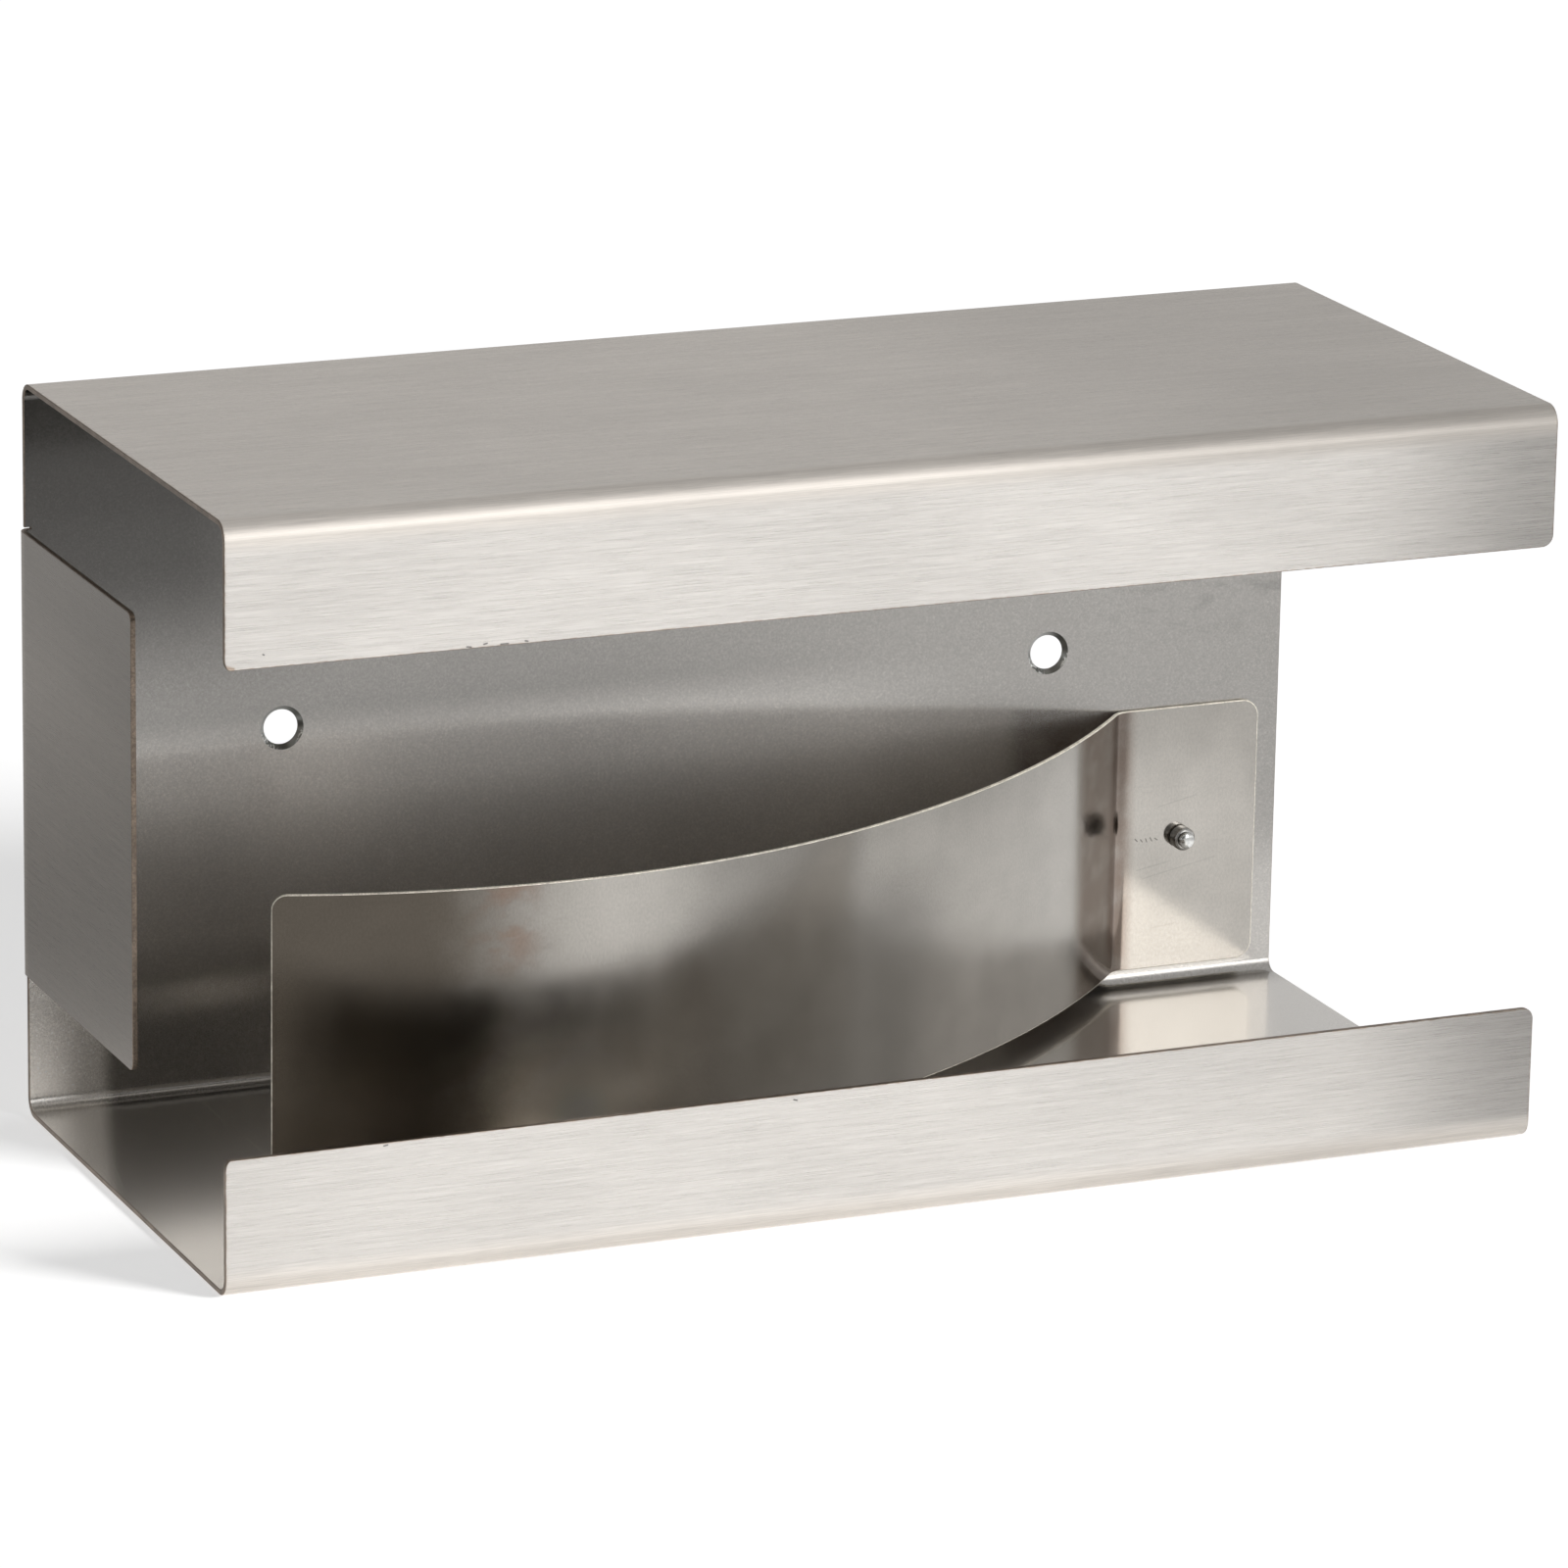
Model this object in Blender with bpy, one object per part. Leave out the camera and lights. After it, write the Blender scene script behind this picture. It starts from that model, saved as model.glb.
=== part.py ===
"""Wall dispenser for a box of disposable gloves, in folded stainless steel.

Run it with blender --background --python part.py, or from Blender's text editor.
Metres, +Z up. The origin lies on the wall plane, at the middle of the back panel:
+Y points into the wall, -Y into the room, and +X along the dispenser.

The pieces:
- housing: one folded sheet with a top, a back, a bottom, two front lips and a side stop flange
- leaf_spring: one folded strip, whose bowed blade presses the glove box against the lips
- rivet_sleeve and rivet_mandrel: the blind rivet that holds the leaf's foot to the back
"""

import math
from dataclasses import dataclass

import bmesh
import bpy
from mathutils import Matrix, Vector

MM = 0.001

# Housing
WIDTH = 260 * MM
DEPTH = 112 * MM
HEIGHT = 142 * MM
SHEET = 1.0 * MM
BEND_INNER_RADIUS = 2.5 * MM
TOP_LIP = 26.5 * MM
BOTTOM_LIP = 26.0 * MM
LIP_CORNER_RADIUS = 2.2 * MM

# Side stop flange, folded forward from the back panel's left edge
FLANGE_DEPTH = 64.5 * MM
FLANGE_HEIGHT = 86 * MM
FLANGE_STANDOFF = 1.0 * MM
FLANGE_INNER_RADIUS = 1.2 * MM
FLANGE_CORNER_RADIUS = 1.8 * MM
RELIEF_SLIT = 0.3 * MM

# Wall screw holes, countersunk from the front
SCREW_SPACING = 159 * MM
SCREW_HOLE_DIAMETER = 6.8 * MM
SCREW_HEAD_DIAMETER = 8.6 * MM

# Leaf spring
LEAF_THICKNESS = 0.8 * MM
LEAF_HEIGHT = 53.5 * MM
LEAF_FLOOR_CLEARANCE = 0.75 * MM
FOOT_EDGE_INSET = 4.7 * MM
FOOT_LENGTH = 28.6 * MM
FOOT_CORNER_RADIUS = 3.5 * MM
TIP_CORNER_RADIUS = 3.0 * MM
TIP_TO_SIDE = 27 * MM
FOLD_INNER_RADIUS = 4.0 * MM
FOLD_ANGLE = math.radians(48)
WAIST_ANGLE = math.radians(22.3)
TIP_ANGLE = math.radians(20.4)
ROOT_TO_TIP_RATIO = 1.35

# Blind rivet, countersunk flush with the back panel's wall side
RIVET_INSET = 16.6 * MM
RIVET_SHANK_DIAMETER = 3.2 * MM
RIVET_HEAD_DIAMETER = 5.6 * MM
RIVET_HEAD_ANGLE = math.radians(120)
RIVET_HEAD_RECESS = 0.05 * MM
RIVET_BULB_DIAMETER = 4.7 * MM
RIVET_BULB_LENGTH = 2.5 * MM
RIVET_BULB_ROUNDING = 0.7 * MM
MANDREL_STEM_DIAMETER = 1.4 * MM
MANDREL_HEAD_DIAMETER = 3.2 * MM
MANDREL_HEAD_LENGTH = 0.9 * MM
MANDREL_BREAK_DEPTH = 0.8 * MM

# Space left between pieces that touch on the real object
FIT_GAP = 0.3 * MM

# Facets
BEND_STEPS = 6
BLADE_STEPS = 10
CORNER_STEPS = 5
ROUND_STEPS = 32
DOME_STEPS = 5
MERGE_DISTANCE = 0.001 * MM
CUT_OVERRUN = 2 * MM

BRUSHED_STEEL = ((0.62, 0.60, 0.57), 0.34)
SATIN_STEEL = ((0.56, 0.54, 0.51), 0.22)
RIVET_STEEL = ((0.50, 0.50, 0.50), 0.25)
MANDREL_STEEL = ((0.72, 0.72, 0.72), 0.18)


@dataclass
class Pen:
    """A point that draws one face of a bent strip, seen in section."""

    position: Vector
    heading: float

    def run(self, length: float) -> list[Vector]:
        """Go straight on, and return the point reached."""
        self.position = self.position + length * direction(self.heading)
        return [self.position]

    def turn(self, radius: float, angle: float, steps: int = BEND_STEPS) -> list[Vector]:
        """Follow an arc, to the left where the angle is positive, and return the points on it."""
        side = math.copysign(math.pi / 2, angle)
        centre = self.position + radius * direction(self.heading + side)
        points = [
            centre + radius * direction(self.heading + angle * step / steps - side)
            for step in range(1, steps + 1)
        ]
        self.heading += angle
        self.position = points[-1]
        return points


def direction(angle: float) -> Vector:
    """Return the unit vector at an angle from the section's first axis."""
    return Vector((math.cos(angle), math.sin(angle)))


def steel(name: str, finish: tuple[tuple[float, float, float], float]) -> bpy.types.Material:
    """Return a bare steel material of one colour and roughness."""
    colour, roughness = finish
    material = bpy.data.materials.new(name)
    material.use_nodes = True
    shader = material.node_tree.nodes["Principled BSDF"]
    shader.inputs["Base Color"].default_value = (*colour, 1)
    shader.inputs["Metallic"].default_value = 1
    shader.inputs["Roughness"].default_value = roughness
    return material


def new_object(name: str, shape: bmesh.types.BMesh) -> bpy.types.Object:
    """Turn a finished bmesh into an object in the scene."""
    mesh = bpy.data.meshes.new(name)
    shape.to_mesh(mesh)
    shape.free()
    made = bpy.data.objects.new(name, mesh)
    bpy.context.scene.collection.objects.link(made)
    return made


def finish_piece(piece: bpy.types.Object, material: bpy.types.Material) -> None:
    """Give a piece its material, and smooth shading that stops at its sharp edges."""
    piece.data.materials.append(material)
    piece.data.shade_smooth()
    piece.data.set_sharp_from_angle(angle=math.radians(35))


def face_outward(shape: bmesh.types.BMesh, probe: Vector, outward: Vector) -> None:
    """Make a surface's faces agree, with the one nearest the probe facing outward."""
    bmesh.ops.recalc_face_normals(shape, faces=shape.faces)
    nearest = min(shape.faces, key=lambda face: (face.calc_center_median() - probe).length)
    if nearest.normal.dot(outward) < 0:
        bmesh.ops.reverse_faces(shape, faces=shape.faces)


def round_corners(shape: bmesh.types.BMesh, corners: list[Vector], radius: float) -> None:
    """Round a flat surface's own corners at these points."""
    chosen = [v for v in shape.verts if any((v.co - c).length < MERGE_DISTANCE for c in corners)]
    bmesh.ops.bevel(
        shape, geom=chosen, offset=radius, segments=CORNER_STEPS, profile=0.5, affect="VERTICES"
    )


def thicken(piece: bpy.types.Object, thickness: float) -> None:
    """Give a surface its thickness, on the side that its faces point away from."""
    solidify = piece.modifiers.new("Thickness", "SOLIDIFY")
    solidify.thickness = thickness
    solidify.offset = -1
    solidify.use_even_offset = True


def cut(piece: bpy.types.Object, cutter: bpy.types.Object) -> None:
    """Subtract a cutter, which stays in the scene as a hidden guide."""
    cutter.hide_render = True
    cutter.display_type = "WIRE"
    boolean = piece.modifiers.new(f"Cut {cutter.name}", "BOOLEAN")
    boolean.operation = "DIFFERENCE"
    boolean.solver = "EXACT"
    boolean.object = cutter


def turned(name: str, profile: list[tuple[float, float]], closed: bool) -> bpy.types.Object:
    """Turn a profile of (radius, distance into the room) points about the Y axis.

    A closed profile makes a ring or sleeve, and an open one starts and ends on the axis.
    """
    shape = bmesh.new()
    points = [shape.verts.new((radius, -ahead, 0)) for radius, ahead in profile]
    pairs = list(zip(points, points[1:] + points[:1], strict=True))
    edges = [shape.edges.new(pair) for pair in (pairs if closed else pairs[:-1])]
    bmesh.ops.spin(
        shape,
        geom=points + edges,
        cent=(0, 0, 0),
        axis=(0, 1, 0),
        angle=math.tau,
        steps=ROUND_STEPS,
        use_merge=True,
    )
    bmesh.ops.remove_doubles(shape, verts=shape.verts, dist=MERGE_DISTANCE)
    bmesh.ops.recalc_face_normals(shape, faces=shape.faces)
    return new_object(name, shape)


def housing_section() -> list[Vector]:
    """Return the housing's outer face in section, as (y, z) points from the top lip to the bottom one."""
    bend = BEND_INNER_RADIUS + SHEET
    clockwise = -math.pi / 2
    beside_flange = HEIGHT / 2 - bend - FLANGE_HEIGHT / 2 - RELIEF_SLIT
    pen = Pen(Vector((-DEPTH, HEIGHT / 2 - TOP_LIP)), math.pi / 2)
    points = [pen.position]
    points += pen.run(TOP_LIP - bend) + pen.turn(bend, clockwise)
    points += pen.run(DEPTH - 2 * bend) + pen.turn(bend, clockwise)
    for length in (beside_flange, RELIEF_SLIT, FLANGE_HEIGHT, RELIEF_SLIT, beside_flange):
        points += pen.run(length)
    points += pen.turn(bend, clockwise) + pen.run(DEPTH - 2 * bend)
    return points + pen.turn(bend, clockwise) + pen.run(BOTTOM_LIP - bend)


def extrude_edges(shape: bmesh.types.BMesh, edges: list, step: Vector) -> list:
    """Extrude open edges by a step, and return the edges at its end."""
    grown = bmesh.ops.extrude_edge_only(shape, edges=edges)["geom"]
    verts = {item for item in grown if isinstance(item, bmesh.types.BMVert)}
    bmesh.ops.translate(shape, verts=list(verts), vec=step)
    return [
        item
        for item in grown
        if isinstance(item, bmesh.types.BMEdge) and verts.issuperset(item.verts)
    ]


def surface_from_path(path: list[Vector], steps: list[Vector]) -> bmesh.types.BMesh:
    """Return the surface that an open path of points sweeps in one or more straight steps."""
    shape = bmesh.new()
    verts = [shape.verts.new(point) for point in path]
    edges = [shape.edges.new(pair) for pair in zip(verts, verts[1:], strict=False)]
    for step in steps:
        edges = extrude_edges(shape, edges, step)
    return shape


def fold_flange(shape: bmesh.types.BMesh, fold_x: float) -> None:
    """Cut the relief beside the stop flange, and fold the flange forward from the back panel."""
    outer = FLANGE_INNER_RADIUS + SHEET
    slit_top = FLANGE_HEIGHT / 2 + RELIEF_SLIT
    removed = [
        face
        for face in shape.faces
        if face.calc_center_median().x < fold_x
        and abs(face.calc_center_median().z) < slit_top
        and abs(face.calc_center_median().y) < MERGE_DISTANCE
    ]
    bmesh.ops.delete(shape, geom=removed, context="FACES")
    root = [
        edge
        for edge in shape.edges
        if all(
            abs(v.co.x - fold_x) < MERGE_DISTANCE
            and abs(v.co.y) < MERGE_DISTANCE
            and abs(abs(v.co.z) - FLANGE_HEIGHT / 2) < MERGE_DISTANCE
            for v in edge.verts
        )
    ]
    bent = bmesh.ops.spin(
        shape,
        geom=root + [v for edge in root for v in edge.verts],
        cent=(fold_x, -outer, 0),
        axis=(0, 0, 1),
        angle=math.pi / 2,
        steps=BEND_STEPS,
    )["geom_last"]
    edges = [item for item in bent if isinstance(item, bmesh.types.BMEdge)]
    extrude_edges(shape, edges, Vector((0, outer - FLANGE_DEPTH, 0)))


def make_housing() -> bpy.types.Object:
    """Make the folded housing, without its holes."""
    fold_x = -WIDTH / 2 - FLANGE_STANDOFF + FLANGE_INNER_RADIUS + SHEET
    path = [Vector((-WIDTH / 2, y, z)) for y, z in housing_section()]
    steps = [Vector((fold_x + WIDTH / 2, 0, 0)), Vector((WIDTH / 2 - fold_x, 0, 0))]
    shape = surface_from_path(path, steps)
    fold_flange(shape, fold_x)
    bmesh.ops.remove_doubles(shape, verts=shape.verts, dist=MERGE_DISTANCE)
    lip_ends = (HEIGHT / 2 - TOP_LIP, BOTTOM_LIP - HEIGHT / 2)
    corners = [Vector((side * WIDTH / 2, -DEPTH, z)) for side in (-1, 1) for z in lip_ends]
    round_corners(shape, corners, LIP_CORNER_RADIUS)
    flange_x = -WIDTH / 2 - FLANGE_STANDOFF
    flange_ends = (-FLANGE_HEIGHT / 2, FLANGE_HEIGHT / 2)
    corners = [Vector((flange_x, -FLANGE_DEPTH, z)) for z in flange_ends]
    round_corners(shape, corners, FLANGE_CORNER_RADIUS)
    face_outward(shape, Vector((0, 0, 0)), Vector((0, 1, 0)))
    housing = new_object("housing", shape)
    thicken(housing, SHEET)
    return housing


def cut_screw_hole(housing: bpy.types.Object, name: str, x: float) -> None:
    """Cut one wall screw hole, with a 90 degree countersink from the front."""
    narrow = SCREW_HOLE_DIAMETER / 2
    wide = SCREW_HEAD_DIAMETER / 2
    front = SHEET
    profile = [
        (0, -CUT_OVERRUN),
        (narrow, -CUT_OVERRUN),
        (narrow, front - (wide - narrow)),
        (wide, front),
        (wide, front + CUT_OVERRUN),
        (0, front + CUT_OVERRUN),
    ]
    cutter = turned(name, profile, closed=False)
    cutter.location = (x, 0, 0)
    cut(housing, cutter)


def rivet_place() -> Vector:
    """Return the rivet's centre on the wall plane."""
    return Vector((WIDTH / 2 - FOOT_EDGE_INSET - RIVET_INSET, 0, leaf_middle()))


def leaf_middle() -> float:
    """Return the height of the leaf's centre line."""
    bend = BEND_INNER_RADIUS + SHEET
    return -HEIGHT / 2 + bend + LEAF_FLOOR_CLEARANCE + LEAF_HEIGHT / 2


def head_depth(radius: float) -> float:
    """Return how far a countersunk rivet head of this radius reaches before it meets the shank."""
    return (radius - RIVET_SHANK_DIAMETER / 2) / math.tan(RIVET_HEAD_ANGLE / 2)


def cut_rivet_hole(housing: bpy.types.Object) -> None:
    """Cut the rivet's countersunk hole through the back panel, from the wall side."""
    shank = RIVET_SHANK_DIAMETER / 2 + FIT_GAP
    head = RIVET_HEAD_DIAMETER / 2 + FIT_GAP
    depth = RIVET_HEAD_RECESS + head_depth(RIVET_HEAD_DIAMETER / 2)
    profile = [
        (0, -CUT_OVERRUN),
        (head, -CUT_OVERRUN),
        (head, RIVET_HEAD_RECESS),
        (shank, depth),
        (shank, SHEET + CUT_OVERRUN),
        (0, SHEET + CUT_OVERRUN),
    ]
    cutter = turned("rivet_hole_cutter", profile, closed=False)
    cutter.location = rivet_place()
    cut(housing, cutter)


def blade_radii() -> tuple[float, float]:
    """Return the radii of the blade's root arc and tip arc, which make it end clear of the left side."""
    fold = (FOLD_INNER_RADIUS + LEAF_THICKNESS) * math.sin(FOLD_ANGLE)
    span = WIDTH - FOOT_EDGE_INSET - FOOT_LENGTH - fold - TIP_TO_SIDE
    root_share = ROOT_TO_TIP_RATIO * (math.sin(FOLD_ANGLE) - math.sin(WAIST_ANGLE))
    tip_share = math.sin(WAIST_ANGLE) + math.sin(TIP_ANGLE)
    tip = span / (root_share + tip_share)
    return ROOT_TO_TIP_RATIO * tip, tip


def leaf_section() -> list[Vector]:
    """Return the leaf's wall-side face seen from above, as (x, y) points from its foot to its tip."""
    root_radius, tip_radius = blade_radii()
    pen = Pen(Vector((WIDTH / 2 - FOOT_EDGE_INSET, -SHEET - FIT_GAP)), math.pi)
    points = [pen.position]
    points += pen.run(FOOT_LENGTH)
    points += pen.turn(FOLD_INNER_RADIUS + LEAF_THICKNESS, FOLD_ANGLE)
    points += pen.turn(root_radius, WAIST_ANGLE - FOLD_ANGLE, BLADE_STEPS)
    return points + pen.turn(tip_radius, -WAIST_ANGLE - TIP_ANGLE, BLADE_STEPS)


def make_leaf_spring() -> bpy.types.Object:
    """Make the leaf spring, with its origin on the fold that its blade bends about."""
    section = leaf_section()
    foot_end, fold_start, fold_end, tip = section[0], section[1], section[1 + BEND_STEPS], section[-1]
    bottom = leaf_middle() - LEAF_HEIGHT / 2
    path = [Vector((x, y, bottom)) for x, y in section]
    shape = surface_from_path(path, [Vector((0, 0, LEAF_HEIGHT))])
    heights = (bottom, bottom + LEAF_HEIGHT)
    round_corners(shape, [Vector((*foot_end, z)) for z in heights], FOOT_CORNER_RADIUS)
    round_corners(shape, [Vector((*tip, z)) for z in heights], TIP_CORNER_RADIUS)
    face_outward(shape, Vector((*fold_start, leaf_middle())), Vector((0, 1, 0)))
    pivot = Vector((*fold_end, leaf_middle()))
    bmesh.ops.translate(shape, verts=shape.verts, vec=-pivot)
    leaf = new_object("leaf_spring", shape)
    leaf.location = pivot
    thicken(leaf, LEAF_THICKNESS)
    return leaf


def cut_foot_hole(leaf: bpy.types.Object) -> None:
    """Cut the rivet's hole through the leaf's foot."""
    radius = RIVET_SHANK_DIAMETER / 2 + FIT_GAP
    ahead = SHEET + FIT_GAP + LEAF_THICKNESS + CUT_OVERRUN
    profile = [(0, -CUT_OVERRUN), (radius, -CUT_OVERRUN), (radius, ahead), (0, ahead)]
    cutter = turned("foot_hole_cutter", profile, closed=False)
    cutter.location = rivet_place()
    cut(leaf, cutter)


def sleeve_end() -> float:
    """Return how far the rivet sleeve's bulb reaches from the wall plane."""
    return SHEET + 2 * FIT_GAP + LEAF_THICKNESS + RIVET_BULB_LENGTH


def make_rivet_sleeve() -> bpy.types.Object:
    """Make the rivet's sleeve: a countersunk head, a shank and the bulb that clamps the foot."""
    bore = MANDREL_STEM_DIAMETER / 2 + FIT_GAP
    shank = RIVET_SHANK_DIAMETER / 2
    head = RIVET_HEAD_DIAMETER / 2
    bulb = RIVET_BULB_DIAMETER / 2
    end = sleeve_end()
    rounding = [
        (
            bulb - RIVET_BULB_ROUNDING * (1 - math.cos(angle)),
            end - RIVET_BULB_ROUNDING * (1 - math.sin(angle)),
        )
        for angle in (math.pi / 2 * step / DOME_STEPS for step in range(DOME_STEPS + 1))
    ]
    profile = [
        (bore, RIVET_HEAD_RECESS),
        (head, RIVET_HEAD_RECESS),
        (shank, RIVET_HEAD_RECESS + head_depth(head)),
        (shank, end - RIVET_BULB_LENGTH),
        (bulb, end - RIVET_BULB_LENGTH),
        *rounding,
        (bore, end),
    ]
    return turned("rivet_sleeve", profile, closed=True)


def make_rivet_mandrel() -> bpy.types.Object:
    """Make the mandrel: the stem broken off inside the sleeve, and its domed head on the bulb."""
    stem = MANDREL_STEM_DIAMETER / 2
    head = MANDREL_HEAD_DIAMETER / 2
    start = sleeve_end() + FIT_GAP
    dome = [
        (head * math.cos(angle), start + MANDREL_HEAD_LENGTH * (1 + math.sin(angle)) / 2)
        for angle in (math.pi / 2 * step / DOME_STEPS for step in range(DOME_STEPS + 1))
    ]
    profile = [
        (0, MANDREL_BREAK_DEPTH),
        (stem, MANDREL_BREAK_DEPTH),
        (stem, start),
        (head, start),
        *dome[:-1],
        (0, dome[-1][1]),
    ]
    return turned("rivet_mandrel", profile, closed=False)


def clear_scene() -> None:
    """Remove what the scene holds."""
    for old in list(bpy.data.objects):
        bpy.data.objects.remove(old)


def main() -> None:
    """Build the dispenser."""
    clear_scene()
    housing = make_housing()
    cut_screw_hole(housing, "left_screw_hole_cutter", -SCREW_SPACING / 2)
    cut_screw_hole(housing, "right_screw_hole_cutter", SCREW_SPACING / 2)
    cut_rivet_hole(housing)
    leaf = make_leaf_spring()
    cut_foot_hole(leaf)
    sleeve = make_rivet_sleeve()
    mandrel = make_rivet_mandrel()
    for piece in (sleeve, mandrel):
        piece.matrix_world = Matrix.Translation(rivet_place())
    finish_piece(housing, steel("Brushed steel", BRUSHED_STEEL))
    finish_piece(leaf, steel("Satin steel", SATIN_STEEL))
    finish_piece(sleeve, steel("Rivet steel", RIVET_STEEL))
    finish_piece(mandrel, steel("Mandrel steel", MANDREL_STEEL))


main()
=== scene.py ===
"""Dress the wall dispenser for disposable gloves.

A folded stainless steel housing, brushed outside and with its mill finish inside,
a bowed leaf spring that presses the glove box forward, and the rivet that holds it.
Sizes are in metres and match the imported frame.
"""

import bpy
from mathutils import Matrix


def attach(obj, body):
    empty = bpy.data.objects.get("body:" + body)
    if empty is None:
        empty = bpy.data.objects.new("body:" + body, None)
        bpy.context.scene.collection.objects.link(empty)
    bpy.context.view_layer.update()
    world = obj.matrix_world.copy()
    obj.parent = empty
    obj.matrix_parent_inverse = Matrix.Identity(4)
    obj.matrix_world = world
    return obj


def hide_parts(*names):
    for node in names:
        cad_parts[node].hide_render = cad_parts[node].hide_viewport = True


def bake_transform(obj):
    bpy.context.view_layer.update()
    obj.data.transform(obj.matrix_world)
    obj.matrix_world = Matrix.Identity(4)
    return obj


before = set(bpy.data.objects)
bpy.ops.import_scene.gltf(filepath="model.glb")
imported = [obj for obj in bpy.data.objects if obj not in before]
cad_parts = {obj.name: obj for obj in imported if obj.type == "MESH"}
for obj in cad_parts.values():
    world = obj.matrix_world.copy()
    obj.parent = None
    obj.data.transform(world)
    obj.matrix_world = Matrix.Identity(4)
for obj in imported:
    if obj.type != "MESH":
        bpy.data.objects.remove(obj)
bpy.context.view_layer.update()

import logging
import math
from dataclasses import dataclass
from enum import Enum
from functools import reduce

import bmesh
import bpy
from mathutils import Matrix, Vector

log = logging.getLogger("glove_dispenser")

MM = 0.001
Object = bpy.types.Object
Socket = bpy.types.NodeSocket
Point = tuple[float, float, float]
Colour = tuple[float, float, float]
Span = tuple[float, float]
Ramp = tuple[float, float, float, float]

X_AXIS = Vector((1, 0, 0))
Y_AXIS = Vector((0, 1, 0))
Z_AXIS = Vector((0, 0, 1))
SMOOTH_ANGLE = math.radians(20)
TURNED_SMOOTH_ANGLE = math.radians(35)
MERGE_DISTANCE = 0.001 * MM
BLANK_MAP = "flat_blank"
WHITE = (1, 1, 1)


def mm(*lengths: float) -> tuple[float, ...]:
    """Return lengths in millimetres as metres."""
    return tuple(length * MM for length in lengths)


class Face(Enum):
    """The kinds of surface on a piece cut from sheet, by material slot."""

    OUTER = 0
    INNER = 1
    CUT = 2
    BORE = 3


# Finishes
# A Span is a low and a high value. A Ramp is a Span and what it gives at each end.


@dataclass(frozen=True)
class Marks:
    """Short straight marks, each given by its two ends. Sizes are in millimetres."""

    width: float
    strength: float
    ends: tuple[tuple[Point, Point], ...]
    softness: Span = (0.2, 0.8)


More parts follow.
